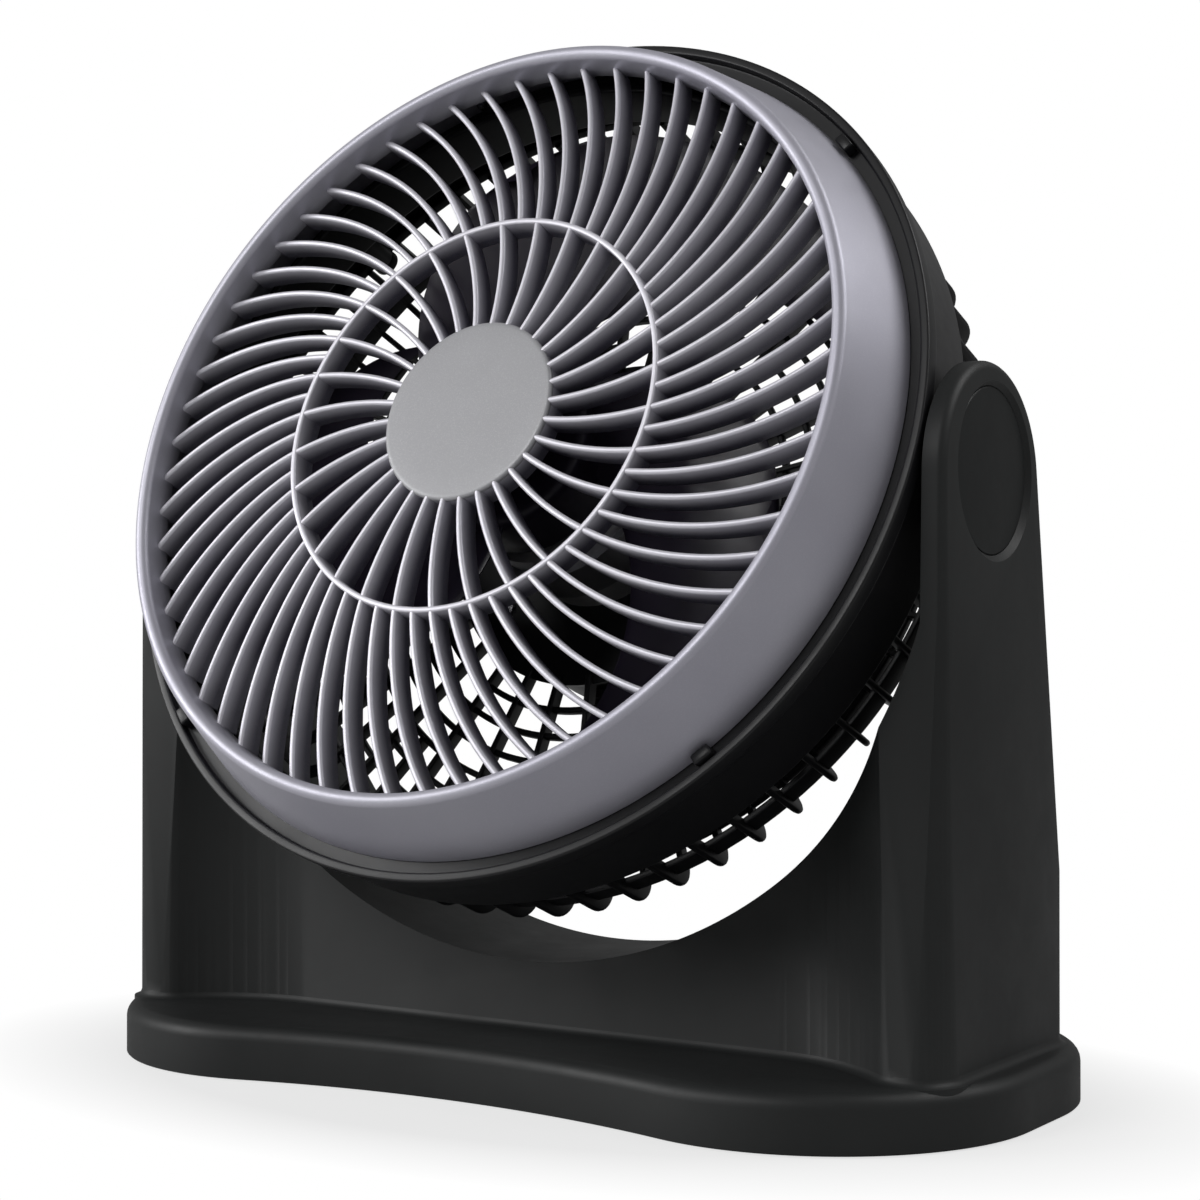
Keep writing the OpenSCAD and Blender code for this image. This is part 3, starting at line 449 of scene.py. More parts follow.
def boxShape(lo, hi, bevel=0.4):
    # a block with rounded edges, as a closed mesh
    work = bmesh.new()
    bmesh.ops.create_cube(work, size=1)
    for v in work.verts:
        v.co = Vector([lo[i] + (v.co[i] + 0.5) * (hi[i] - lo[i]) for i in range(3)])
    bmesh.ops.bevel(work, geom=work.edges[:], offset=bevel, segments=2, affect="EDGES",
                    profile=0.5)
    vertices = [tuple(v.co) for v in work.verts]
    faces = [tuple(v.index for v in face.verts) for face in work.faces]
    work.free()
    return vertices, faces


def sweepShape(sections, ends=True):
    # sections are equal closed rings of points; the ends are capped
    vertices = [p for ring in sections for p in ring]
    n = len(sections[0])
    faces = []
    for s in range(len(sections) - 1):
        for i in range(n):
            j = (i + 1) % n
            faces.append((s * n + i, s * n + j, (s + 1) * n + j, (s + 1) * n + i))
    if ends:
        faces.append(tuple(range(n))[::-1])
        faces.append(tuple(range((len(sections) - 1) * n, len(sections) * n)))
    return vertices, faces


def cutWith(obj, cutter, operation="DIFFERENCE"):
    modifier = obj.modifiers.new("cut", "BOOLEAN")
    modifier.operation = operation
    modifier.solver = "EXACT"
    modifier.object = cutter
    applyModifiers(obj)
    bpy.data.objects.remove(cutter)


def applyModifiers(obj):
    graph = bpy.context.evaluated_depsgraph_get()
    done = bpy.data.meshes.new_from_object(obj.evaluated_get(graph))
    old = obj.data
    obj.modifiers.clear()
    obj.data = done
    bpy.data.meshes.remove(old)


def dress(obj, body, slot, *nodes):
    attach(obj, body)
    if nodes:
        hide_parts(*nodes)
    return obj


# front grille

grille = {
    "discRadius": 29.8, "discFront": 55.5, "discDepth": 2.0,
    "midRadius": 65.0, "midWidth": 1.9,
    "slats": 30, "firstSlat": 3.9, "curveRadius": 105.0, "lead": 1.5,
    "front": 55.3, "drop": 3.8, "dropPower": 1.15, "tipRadius": 122.6,
    "depth": 9.0, "noseHalf": 1.0, "tailHalf": 0.75,
    "crestRadius": 2.4, "crestCentre": (124.2, 56.0), "skirt": (134.5, 31.5),
    "shell": 1.8, "innerEdge": 46.5,
}


def slatFront(radius):
    g = grille
    past = max(0.0, (radius - g["midRadius"]) / (g["tipRadius"] - g["midRadius"]))
    return g["front"] - g["drop"] * min(past, 1.0) ** g["dropPower"]


def slatPoint(turn):
    g = grille
    centre = (g["discRadius"] - g["curveRadius"] * sin(radians(g["lead"])),
              g["curveRadius"] * cos(radians(g["lead"])))
    return Vector((centre[0] + g["curveRadius"] * sin(turn),
                   centre[1] - g["curveRadius"] * cos(turn), 0))


def turnAtRadius(radius):
    low, high = -0.1, 1.4
    for _ in range(40):
        middle = (low + high) / 2
        if slatPoint(middle).length < radius:
            low = middle
        else:
            high = middle
    return low


def slatShape(fromRadius, steps):
    g = grille
    first, last = turnAtRadius(fromRadius), turnAtRadius(g["tipRadius"])
    nose = [(g["noseHalf"] * cos(radians(a)), g["noseHalf"] * (sin(radians(a)) - 1))
            for a in (180, 155, 125, 90, 55, 25, 0)]
    tail = [(g["tailHalf"], -g["depth"] + 0.4), (g["tailHalf"] - 0.35, -g["depth"]),
            (0.35 - g["tailHalf"], -g["depth"]), (-g["tailHalf"], -g["depth"] + 0.4)]
    sections = []
    for k in range(steps + 1):
        turn = first + (last - first) * k / steps
        here = slatPoint(turn)
        side = Vector((-sin(turn), cos(turn), 0))
        top = slatFront(here.length)
        sections.append([tuple(here + side * x + Vector((0, 0, top + z)))
                         for x, z in nose + tail])
    return sweepShape(sections)


def makeGrille():
    g = grille
    build = Build()
    full, half = slatShape(g["discRadius"] - 0.8, 26), slatShape(g["midRadius"] - 0.5, 18)
    step = 360 / g["slats"]
    for k in range(g["slats"]):
        build.add(*full, spin(g["firstSlat"] + k * step))
        build.add(*half, spin(g["firstSlat"] + (k + 0.5) * step))
    wide = g["midWidth"] / 2
    front = g["front"] + 0.15
    build.add(*latheShape(softProfile([
        (g["midRadius"] - wide, front - g["depth"]), (g["midRadius"] + wide, front - g["depth"]),
        (g["midRadius"] + wide, front), (g["midRadius"] - wide, front)],
        [0.3, 0.3, 0.8, 0.8], 4), 160))
    build.add(*latheShape(softProfile([
        (g["discRadius"] - 3, front - g["depth"]), (g["discRadius"] - 0.4, front - g["depth"]),
        (g["discRadius"] - 0.4, front - 2.1), (g["discRadius"] - 3, front - 2.1)], 0.3, 2), 96))
    return dress(build.piece("grilleSlats", head, "slatSilverLit", 40), "head", "silver_plastic",
                 "front_grille")


def bezelProfile():
    g = grille
    cx, cz = g["crestCentre"]
    sx, sz = g["skirt"]
    lean = acos(g["crestRadius"] / hypot(sx - cx, cz - sz)) - atan2(cz - sz, sx - cx)
    outer = [(cx + g["crestRadius"] * cos(a), cz + g["crestRadius"] * sin(a))
             for a in [pi + (lean - pi) * k / 26 for k in range(27)]]
    r = g["crestRadius"] - g["shell"]
    inner = [(cx + r * cos(a), cz + r * sin(a))
             for a in [lean + (pi - lean) * k / 18 for k in range(19)]]
    edge = g["innerEdge"]
    thin = g["shell"] / cos(lean)
    start = [(cx - g["crestRadius"] + 0.5, edge), (cx - g["crestRadius"], edge + 0.5)]
    skirt = [(sx, sz + 0.4), (sx - 0.4, sz), (sx - thin + 0.3, sz)]
    return start + outer + skirt + inner + [(cx - r, edge)]


def makeBezel():
    build = Build()
    build.add(*latheShape(bezelProfile(), 240))
    return dress(build.piece("bezel", head, "silver", 50), "head", "silver_plastic")


def makeDisc():
    g = grille
    r, top = g["discRadius"], g["discFront"]
    low = top - g["discDepth"]
    profile = [(0, low), (r - 0.5, low), (r, low + 0.4), (r, top - 0.75),
               (r - 0.25, top - 0.35), (r - 0.8, top - 0.12), (r - 1.6, top - 0.06),
               (r - 8, top - 0.02), (0, top)]
    build = Build()
    build.add(*discShape(profile, 160))
    return dress(build.piece("hubDisc", head, "discSilver", 60), "head", "silver_plastic",
                 "hub_disc")


makeGrille()
makeBezel()
makeDisc()
print("front grille done")


# duct

duct = {
    "lipRadius": 141.3, "lipWidth": 2.8, "lipFront": 34.5, "lipDepth": 6.0,
    "radius": 139.1, "wall": 2.4, "back": 3.0, "deckFront": 31.5, "deckDepth": 2.5,
    "shroudRadius": 121.5, "shroudFront": 38.5, "shroudBack": 20.0,
    "postAngles": (47, 137, 227, 317), "postRadius": 129.0,
    "lugRadius": 18.0, "lugIn": 136.8, "lugOut": 141.3, "journal": 9.0, "journalEnd": 144.75,
    "clipAngles": (43, 133, 223, 313),
}


def ductProfile():
    d = duct
    deckBack = d["deckFront"] - d["deckDepth"]
    lipBack = d["lipFront"] - d["lipDepth"]
    inner = d["radius"] - d["wall"]
    outerShroud = d["shroudRadius"] + d["wall"]
    corners = [
        (d["radius"], d["back"], 0.6), (d["radius"], lipBack, 1.0),
        (d["lipRadius"], lipBack, 1.2), (d["lipRadius"], d["lipFront"], 0.7),
        (d["lipRadius"] - d["lipWidth"], d["lipFront"], 0.7),
        (d["lipRadius"] - d["lipWidth"], d["deckFront"], 0.5),
        (outerShroud, d["deckFront"], 0.8), (outerShroud, d["shroudFront"], 0.6),
        (d["shroudRadius"], d["shroudFront"], 0.9), (d["shroudRadius"], d["shroudBack"], 0.9),
        (outerShroud, d["shroudBack"], 0.9), (outerShroud, deckBack, 0.8),
        (inner, deckBack, 0.8), (inner, d["back"], 0.6)]
    return softProfile([c[:2] for c in corners], [c[2] for c in corners], 4)


def makeDuct():
    d = duct
    build = Build()
    build.add(*latheShape(ductProfile(), 240))
    post = softProfile([(0, d["back"] + 3), (4.5, d["back"] + 3),
                        (4.7, d["deckFront"] - d["deckDepth"] + 0.4),
                        (0, d["deckFront"] - d["deckDepth"] + 0.5)], 0.4, 2, closed=False)
    for angle in d["postAngles"]:
        build.add(*discShape(post, 32), spin(angle) @ shift(d["postRadius"], 0, 0))
    lug = softProfile([
        (0, d["lugIn"]), (d["lugRadius"], d["lugIn"]), (d["lugRadius"], d["lugOut"]),
        (d["journal"], d["lugOut"]), (d["journal"], d["journalEnd"]), (0, d["journalEnd"])],
        0.6, 3, closed=False)
    for side in (1, -1):
        build.add(*discShape(lug, 72), head.inverted() @ sideSpace(side))
    return dress(build.piece("ductShell", head, "ductPlastic", 35), "head", "black_plastic",
                 "duct_housing")


def makeClips():
    d = duct
    lo = (grille["skirt"][0] + 0.3, -3, d["deckFront"])
    hi = (d["lipRadius"] - d["lipWidth"] - 0.5, 3, d["deckFront"] + 4.4)
    build = Build()
    for angle in d["clipAngles"]:
        build.add(*boxShape(lo, hi, 0.5), spin(angle))
    return dress(build.piece("grilleClips", head, "ductPlastic", 50), "head", "black_plastic",
                 "grille_clips")


makeDuct()
makeClips()
print("duct done")


# rear guard

guard = {
    "fins": 60, "firstFin": 2.0, "finWidth": 2.0, "finDepth": 5.0, "radius": 136.2,
    "top": 3.0, "back": 31.0, "corner": 12.0, "innerEnd": 55.0, "shortEnd": 92.5,
    "hoopStart": 57.0, "hoopPitch": 9.0, "hoops": 7, "hoopHalf": 1.0,
    "bandFront": -12.0, "bandBack": -21.0, "bandRadius": 133.4,
    "hoopBack": -30.0, "hoopFront": -27.0,
    "ringOut": 136.4, "ringIn": 132.4, "ringBack": 2.0, "ringFront": 5.5,
    "plateIn": 20.0, "plateOut": 56.5, "plateBack": -31.5, "plateFront": -28.0,
    "padRadius": 4.5, "padBack": 2.5, "padFront": 6.0,
}


def finPath(end):
    # outer edge from the duct to the middle, with the inward direction at each point
    g = guard
    cx, cz = g["radius"] - g["corner"], g["corner"] - g["back"]
    path = [((g["radius"], g["top"]), (-1, 0)), ((g["radius"], cz + 6), (-1, 0))]
    for k in range(11):
        a = -pi / 2 * k / 10
        path.append(((cx + g["corner"] * cos(a), cz + g["corner"] * sin(a)),
                     (-cos(a), -sin(a))))
    path += [(((cx + end) / 2, -g["back"]), (0, 1)), ((end, -g["back"]), (0, 1))]
    return path


def finShape(end):
    g = guard
    w, depth = g["finWidth"] / 2, g["finDepth"]
    section = [(-w, 0.7), (-w * 0.7, 0.2), (-w * 0.3, 0), (w * 0.3, 0), (w * 0.7, 0.2), (w, 0.7),
               (w, depth - 0.4), (w - 0.4, depth), (0.4 - w, depth), (-w, depth - 0.4)]
    sections = []
    for (r, z), (nr, nz) in finPath(end):
        sections.append([(r + nr * inward, across, z + nz * inward)
                         for across, inward in section])
    return sweepShape(sections)


def makeGuard():
    g = guard
    build = Build()
    long, short = finShape(g["innerEnd"]), finShape(g["shortEnd"])
    for k in range(g["fins"]):
        build.add(*(short if k % 2 else long), spin(g["firstFin"] + k * 360 / g["fins"]))
    h = g["hoopHalf"]
    for k in range(1, g["hoops"] + 1):
        r = g["hoopStart"] + k * g["hoopPitch"]
        build.add(*latheShape(softProfile([
            (r - h, g["hoopBack"]), (r + h, g["hoopBack"]),
            (r + h, g["hoopFront"]), (r - h, g["hoopFront"])], 0.7, 3), 144))
    build.add(*latheShape(softProfile([
        (g["bandRadius"] - 1.6, g["bandFront"]), (g["bandRadius"] + 0.3, g["bandFront"]),
        (g["bandRadius"] - 0.6, g["bandBack"]), (g["bandRadius"] - 2.2, g["bandBack"])],
        0.5, 3), 180))
    build.add(*latheShape(softProfile([
        (g["ringIn"], g["ringBack"]), (g["ringOut"], g["ringBack"]),
        (g["ringOut"], g["ringFront"]), (g["ringIn"], g["ringFront"])],
        0.5, 3), 180))
    build.add(*latheShape(softProfile([
        (g["plateIn"], g["plateBack"]), (g["plateOut"], g["plateBack"]),
        (g["plateOut"] + 1, g["plateFront"]), (g["plateIn"], g["plateFront"])], 0.5, 3), 120))
    pad = softProfile([(0, g["padBack"]), (g["padRadius"], g["padBack"]),
                       (g["padRadius"], g["padFront"]), (0, g["padFront"])], 0.4, 2, closed=False)
    for angle in duct["postAngles"]:
        build.add(*discShape(pad, 28), spin(angle) @ shift(duct["postRadius"], 0, 0))
    return dress(build.piece("rearGuard", head, "guardPlastic", 40), "head", "black_plastic",
                 "rear_guard")


makeGuard()
print("rear guard done")


# impeller

fan = {
    "blades": 3, "firstBlade": 13.0, "sweep": 92.0, "skew": 71.0, "tipRadius": 117.5,
    "thick": 2.4, "rows": 44, "columns": 30, "hubRadius": 29.0, "hubFront": 34.0,
    "hubDepth": 21.0, "bore": 4.05, "bossRadius": 8.0, "bossBack": 15.6,
}


def bladePoint(u, v):
    # u from leading to trailing edge, v from root to tip
    f = fan
    rounding = 1 - 0.16 * v ** 6 * abs(2 * u - 1) ** 4 if v > 0.5 else 1
    a = radians((u - 0.5) * f["sweep"] * (0.62 + 0.38 * v) * (1 - 0.12 * v) - f["skew"] * v)
    r = (f["hubRadius"] - 2 + (f["tipRadius"] - f["hubRadius"] + 2) * v) * rounding
    z = f["hubFront"] - 4 - (1 - u) * (11 + 31 * v)
    return Vector((r * cos(a), r * sin(a), z))


def bladeShape():
    f = fan
    m, n = f["rows"], f["columns"]
    upper, lower = [], []
    for i in range(m + 1):
        for j in range(n + 1):
            u, v = i / m, j / n
            du, dv = 1e-3, 1e-3
            p = bladePoint(u, v)
            along = bladePoint(min(u + du, 1), v) - bladePoint(max(u - du, 0), v)
            across = bladePoint(u, min(v + dv, 1)) - bladePoint(u, max(v - dv, 0))
            normal = across.cross(along).normalized()
            edge = (1 - abs(2 * u - 1) ** 10) ** 0.5 * (1 - v ** 24) ** 0.5
            half = f["thick"] * (1.15 - 0.45 * v) / 2 * max(edge, 0.12)
            middle = p + Vector((0, 0, f["thick"] / 2))
            upper.append(middle + normal * half)
            lower.append(middle - normal * half)
    vertices = upper + lower
    offset = len(upper)
    faces = []
    for i in range(m):
        for j in range(n):
            a = i * (n + 1) + j
            quad = (a, a + 1, a + n + 2, a + n + 1)
            faces.append(quad)
            faces.append(tuple(q + offset for q in quad[::-1]))
    rim = ([j for j in range(n + 1)] + [i * (n + 1) + n for i in range(1, m + 1)]
           + [m * (n + 1) + j for j in range(n - 1, -1, -1)]
           + [i * (n + 1) for i in range(m - 1, 0, -1)])
    for k, p in enumerate(rim):
        q = rim[(k + 1) % len(rim)]
        faces.append((p, q, q + offset, p + offset))
    return [tuple(v) for v in vertices], faces


def makeImpeller():
    f = fan
    build = Build()
    blade = bladeShape()
    for k in range(f["blades"]):
        build.add(*blade, spin(f["firstBlade"] + k * 360 / f["blades"]))
    r, top = f["hubRadius"], f["hubFront"]
    low = top - f["hubDepth"]
    hub = softProfile([(5, top - 2.4), (r - 2.4, top - 2.6), (r - 2.4, low), (r, low),
                       (r, top - 1), (r - 8, top), (5, top)],
                      [0, 1.5, 0.4, 0.6, 3.5, 3, 0.2], 4)
    build.add(*latheShape(hub, 120))
    bore, boss, back = f["bore"], f["bossRadius"], f["bossBack"]
    build.add(*latheShape([(bore, back), (boss, back), (boss, top - 2.5), (boss, top),
                           (bore, top)], 48))
    return dress(build.piece("impellerBlades", head, "blade", 45), "fan", "blade_plastic",
                 "impeller")


makeImpeller()
print("impeller done")


# motor cover and knob

cover = {
    "radius": 52.0, "front": -31.5, "back": -68.5, "wall": 2.2, "corner": 5.0,
    "bore": 5.0, "slots": 7, "slotPitch": 7.0, "slotWidth": 3.0, "slotFrom": 25.0,
    "slotTo": 39.0, "glandAt": -52.0, "glandHole": 5.5,
    "marks": (0, 45, 90, 135), "markRadius": 22.5,
}


def makeCover():
    c = cover
    inner = c["radius"] - c["wall"]
    section = softProfile([
        (c["bore"], c["back"]), (c["radius"], c["back"]), (c["radius"], c["front"]),
        (inner, c["front"]), (inner, c["back"] + c["wall"]), (c["bore"], c["back"] + c["wall"])],
        [0.4, c["corner"] * 1.6, 0.5, 0.4, 3.5, 0.4], 6)
    build = Build()
    build.add(*latheShape(section, 144))
    obj = build.piece("motorCover", head, "coverPlastic", 35)
    cuts = Build()
    for k in range(c["slots"]):
        x = (k - (c["slots"] - 1) / 2) * c["slotPitch"]
        cuts.add(*boxShape((x - c["slotWidth"] / 2, c["slotFrom"], c["back"] - 3),
                           (x + c["slotWidth"] / 2, c["slotTo"], c["back"] + 6), 1.2))
    hole = discShape([(0, 40), (c["glandHole"], 40), (c["glandHole"], 60), (0, 60)], 40)
    cuts.add(*hole, shift(0, 0, c["glandAt"]) @ Matrix.Rotation(pi / 2, 4, "X"))
    cutWith(obj, cuts.piece("coverCuts", head, "coverPlastic"))
    smoothBy(obj, 35)
    marks = Build()
    marks.vertices = [tuple(head.inverted() @ (v.co / mm)) for v in obj.data.vertices]
    marks.faces = [tuple(face.vertices) for face in obj.data.polygons]
    bpy.data.objects.remove(obj)
    for angle in c["marks"]:
        size = 1.0 + angle / 90
        marks.add(*boxShape((-0.6, c["markRadius"] - size, c["back"] - 0.4),
                            (0.6, c["markRadius"] + size, c["back"] + 0.6), 0.25),
                  spin(angle))
    return dress(marks.piece("motorCover", head, "coverPlastic", 35), "head",
                 "black_plastic", "motor_cover")


knob = {"radius": 17.0, "height": 15.0, "flutes": 14, "fluteDepth": 1.0, "gap": 0.5,
        "steps": 168}


def makeKnob():
    k = knob
    base = cover["back"] - k["gap"]
    top = base - k["height"]
    rows = [(base, -1.2, 0.2), (base, -0.4, 1), (base - 0.4, 0, 1), (top + 2.2, -0.5, 1),
            (top + 0.8, -0.9, 0.9), (top + 0.2, -1.6, 0.6), (top, -2.8, 0.2),
            (top + 0.1, -4.5, 0), (top + 0.9, -6.0, 0), (top + 1.1, -9, 0)]
    vertices, faces = [], []
    n = k["steps"]
    for z, offset, flute in rows:
        for i in range(n):
            a = 2 * pi * i / n
            wave = max(0.0, cos(k["flutes"] * (a - pi / 2) + pi)) ** 1.5
            r = k["radius"] + offset - k["fluteDepth"] * wave * flute
            vertices.append((r * cos(a), r * sin(a), z))
    for row in range(len(rows) - 1):
        for i in range(n):
            j = (i + 1) % n
            faces.append((row * n + i, row * n + j, (row + 1) * n + j, (row + 1) * n + i))
    vertices += [(0, 0, base), (0, 0, top + 1.2)]
    for i in range(n):
        j = (i + 1) % n
        faces.append((len(vertices) - 2, j, i))
        faces.append((len(vertices) - 1, (len(rows) - 1) * n + i, (len(rows) - 1) * n + j))
    build = Build()
    build.add(vertices, faces)
    build.add(*boxShape((-1.6, -15, top - 0.2), (1.6, 15.6, top + 3), 0.8))
    build.add(*discShape([(0, base - 1), (3, base - 1), (3, base + 10.2), (2.6, base + 10.5),
                          (0, base + 10.5)], 32))
    return dress(build.piece("speedKnob", head, "knobPlastic", 38), "knob", "black_plastic",
                 "speed_knob")


makeCover()
makeKnob()
print("motor cover and knob done")


# stand

stand = {
    "baseWidth": 321.0, "baseDepth": 158.0, "baseCorner": 66.0, "baseCove": 289.0,
    "baseTop": 17.0, "baseEdge": 4.6, "skirtGap": 0.4, "skirtWall": 2.6,
    "forkWidth": 301.0, "frontWaist": 30.0, "front": 50.0, "backWaist": 29.0, "back": 44.0,
    "cove": 63.0, "corner": 12.0, "flare": 2.5,
    "yokeRadius": 149.0, "armGap": 285.0, "pivotZ": 187.0, "journalBore": 9.06,
    "earX": 149.3, "earRadius": 33.5, "earY": -11.2, "earZ": 184.8, "earEdge": 2.6,
    "capSeat": 24.3, "armFloor": 2.2, "capBevel": 1.6, "yokeEdge": 1.6, "armRoot": 90.0,
}


def arcPoints(centre, radius, start, end, steps):
    return [(centre[0] + radius * cos(radians(start + (end - start) * k / steps)),
             centre[1] + radius * sin(radians(start + (end - start) * k / steps)))
            for k in range(steps + 1)]


def baseOutline(inset):
    s = stand
    cx, cy = s["baseWidth"] / 2 - s["baseCorner"], s["baseDepth"] / 2 - s["baseCorner"]
    coveY = cy + sqrt((s["baseCove"] + s["baseCorner"]) ** 2 - cx ** 2)
    tilt = degrees(atan2(coveY - cy, cx))
    r, big = s["baseCorner"] - inset, s["baseCove"] + inset
    right = (arcPoints((cx, -cy), r, tilt - 180, 0, 34) + arcPoints((cx, cy), r, 0, 180 - tilt, 34)
             + arcPoints((0, coveY), big, -tilt, tilt - 180, 60)[1:-1])
    left = (arcPoints((-cx, cy), r, tilt, 180, 34) + arcPoints((-cx, -cy), r, 180, 360 - tilt, 34)
            + arcPoints((0, -coveY), big, 180 - tilt, tilt, 60)[1:-1])
    return right + left


def forkOutline(inset):
    s = stand

    def quarter(depth, waist):
        corner = (s["forkWidth"] / 2 - s["corner"], s["corner"] - depth)
        drop = waist + s["cove"]
        cove = (corner[0] - sqrt((s["cove"] + s["corner"]) ** 2 - (drop + corner[1]) ** 2), -drop)
        turn = degrees(atan2(cove[1] - corner[1], cove[0] - corner[0]))
        return (arcPoints(cove, s["cove"] + inset, 90, turn + 180, 28)[:-1]
                + arcPoints(corner, s["corner"] - inset, turn, 0, 20))
    front, back = quarter(s["front"], s["frontWaist"]), quarter(s["back"], s["backWaist"])
    return (front + [(x, -y) for x, y in back[::-1]] + [(-x, -y) for x, y in back]
            + [(-x, y) for x, y in front[::-1]])


def stackShape(layers):
    # layers are equal outlines with their height, closed at both ends
    return sweepShape([[(x, y, z) for x, y in outline] for outline, z in layers])


def leanAngle(depth, drop):
    s = stand
    return acos(s["earRadius"] / hypot(depth, drop)) - atan2(drop, depth)


def armOutline(inset):
    # the arm seen from its side: a round top whose sides lean out to the foot, as (y, z)
    s = stand
    drop = s["earZ"] - s["baseTop"] - s["flare"]
    front = leanAngle(s["front"] - 0.4 + s["earY"], drop)
    back = leanAngle(s["back"] - 0.4 - s["earY"], drop)
    r = s["earRadius"] - inset
    top = [(r * cos(a), r * sin(a)) for a in
           [back + (pi - front - back) * k / 48 for k in range(49)]]
    far = 200
    leftFoot = (top[-1][0] - far * sin(front), top[-1][1] - far * cos(front))
    rightFoot = (top[0][0] + far * sin(back), top[0][1] - far * cos(back))
    return [rightFoot] + top + [leftFoot]


def armShape(side):
    s = stand
    lean = atan2(s["forkWidth"] / 2 - s["earX"], s["earZ"] - s["baseTop"] - s["flare"])
    e = s["earEdge"]
    root = s["armRoot"] - s["earX"]
    layers = [(-330, 0, 4), (root - 0.02, 0, 4), (root, 0, 1)]
    layers += [(-e + e * sin(a), e * (1 - cos(a)), 1)
               for a in [pi / 2 * k / 8 for k in range(9)]]
    sections = [[(x, y * wide, z * wide) for y, z in armOutline(inset)]
                for x, inset, wide in layers]
    place = (Matrix.Scale(side, 4, (1, 0, 0)) @ shift(s["earX"], s["earY"], s["earZ"])
             @ Matrix.Rotation(-lean, 4, "Y"))
    return [[tuple(place @ Vector(p)) for p in section] for section in sections]


def yokeOutline():
    s = stand
    half = s["armGap"] / 2
    low = degrees(acos(half / s["yokeRadius"]))
    arc = arcPoints((0, s["pivotZ"]), s["yokeRadius"], 180 + low, 360 - low, 110)
    return [(-half, 290), *arc, (half, 290)][::-1]


def plainPiece(name, shape):
    return makePiece(name, *shape, world, "standPlastic")


def makeStand():
    s = stand
    fork = plainPiece("standBody", stackShape([(forkOutline(0), 10), (forkOutline(0), 250)]))
    for side in (1, -1):
        cutWith(fork, plainPiece("armForm", sweepShape(armShape(side))), "INTERSECT")
    yoke = [[(x, y, z) for x, z in yokeOutline()] for y in (-120, 120)]
    cutWith(fork, plainPiece("yokeCut", sweepShape(yoke)))
    bevelEdges(fork, s["yokeEdge"], 48)
    for side in (1, -1):
        floor, face = s["armGap"] / 2 + s["armFloor"], s["earX"] - s["capBevel"]
        bore = s["journalBore"]
        seat = [(0, 100), (bore, 100), (bore, floor), (s["capSeat"], floor),
                (s["capSeat"], face), (s["capSeat"] + 6, face + 6), (0, face + 6)]
        build = Build()
        build.add(*discShape(seat, 96), sideSpace(side))
        cutWith(fork, build.piece("earCut", world, "standPlastic"))
    e, top = s["baseEdge"], s["baseTop"]
    gap, wall = s["skirtGap"], s["skirtWall"]
    layers = [(baseOutline(wall), top - wall), (baseOutline(wall), gap),
              (baseOutline(wall - 0.4), gap), (baseOutline(0.4), gap),
              (baseOutline(0), gap + 0.4), (baseOutline(0), top - e)]
    layers += [(baseOutline(e * (1 - cos(a))), top - e + e * sin(a))
               for a in [pi / 2 * k / 6 for k in range(1, 7)]]
    base = plainPiece("baseForm", stackShape(layers))
    cutWith(fork, base, "UNION")
    f = s["flare"]
    rows = [(1.5, top - 2), (-f, top - 2)]
    for k in range(9):
        a = pi / 2 * (1 - k / 8)
        rows.append((-f * (1 - cos(a)) + (0.15 if k == 8 else 0),
                     top + f * (1 - sin(a)) - (0.05 if k == 0 else 0)))
    rows += [(1.5, top + f)]
    ringVerts, ringFaces = [], []
    n = len(forkOutline(0))
    for inset, z in rows:
        ringVerts += [(x, y, z) for x, y in forkOutline(inset)]
    for i in range(len(rows)):
        for j in range(n):
            a, b = i * n, (i + 1) % len(rows) * n
            ringFaces.append((a + j, a + (j + 1) % n, b + (j + 1) % n, b + j))
    cutWith(fork, plainPiece("flareForm", (ringVerts, ringFaces)), "UNION")
    joinFlat(fork, 0.2)
    smoothBy(fork, 30)
    return dress(fork, "stand", "stand_plastic", "stand_shell")


def joinFlat(obj, limit):
    # joins faces that lie in one plane, so that the shading runs evenly over them
    work = bmesh.new()
    work.from_mesh(obj.data)
    bmesh.ops.dissolve_limit(work, angle_limit=radians(limit), verts=work.verts[:],
                             edges=work.edges[:])
    work.to_mesh(obj.data)
    work.free()


def bevelEdges(obj, width, limit):
    modifier = obj.modifiers.new("soft", "BEVEL")
    modifier.width = width * mm
    modifier.segments = 3
    modifier.limit_method = "ANGLE"
    modifier.angle_limit = radians(limit)
    modifier.use_clamp_overlap = True
    applyModifiers(obj)


def makeCap(side, name, node):
    s = stand
    z = s["armGap"] / 2 + s["armFloor"]
    r = s["capSeat"] - 0.06
    profile = softProfile([(16, z), (r, z), (r, z + 3.3), (0.5, z + 3.45)], [0, 0.4, 0.9, 0], 5,
                          closed=False)
    closed = [(0, z + 2.3), (15.6, z + 2.3), (16, z + 2.0)] + profile + [(0, z + 3.45)]
    build = Build()
    build.add(*discShape(closed, 120), sideSpace(side))
    return dress(build.piece(name, world, "capPlastic", 40), "stand", "stand_plastic", node)


def makeFeet():
    build = Build()
    profile = softProfile([(0, 2), (11, 2), (10.7, 0.2), (10.2, 0), (7.6, 0), (7.2, 0.5),
                           (6.8, 0), (3.6, 0), (3.2, 0.5), (2.8, 0), (0, 0)], 0.15, 2,
                          closed=False)
    for x, y in ((105, 42), (-105, 42), (105, -42), (-105, -42), (0, 0)):
        build.add(*discShape(profile, 64), shift(x, y, 0))
    return dress(build.piece("rubberFeet", world, "rubber", 40), "stand", "foot_rubber",
                 "rubber_feet")


makeStand()
makeCap(1, "rightCap", "right_pivot_cap")
makeCap(-1, "leftCap", "left_pivot_cap")
makeFeet()
print("stand done")


# solids kept as they are

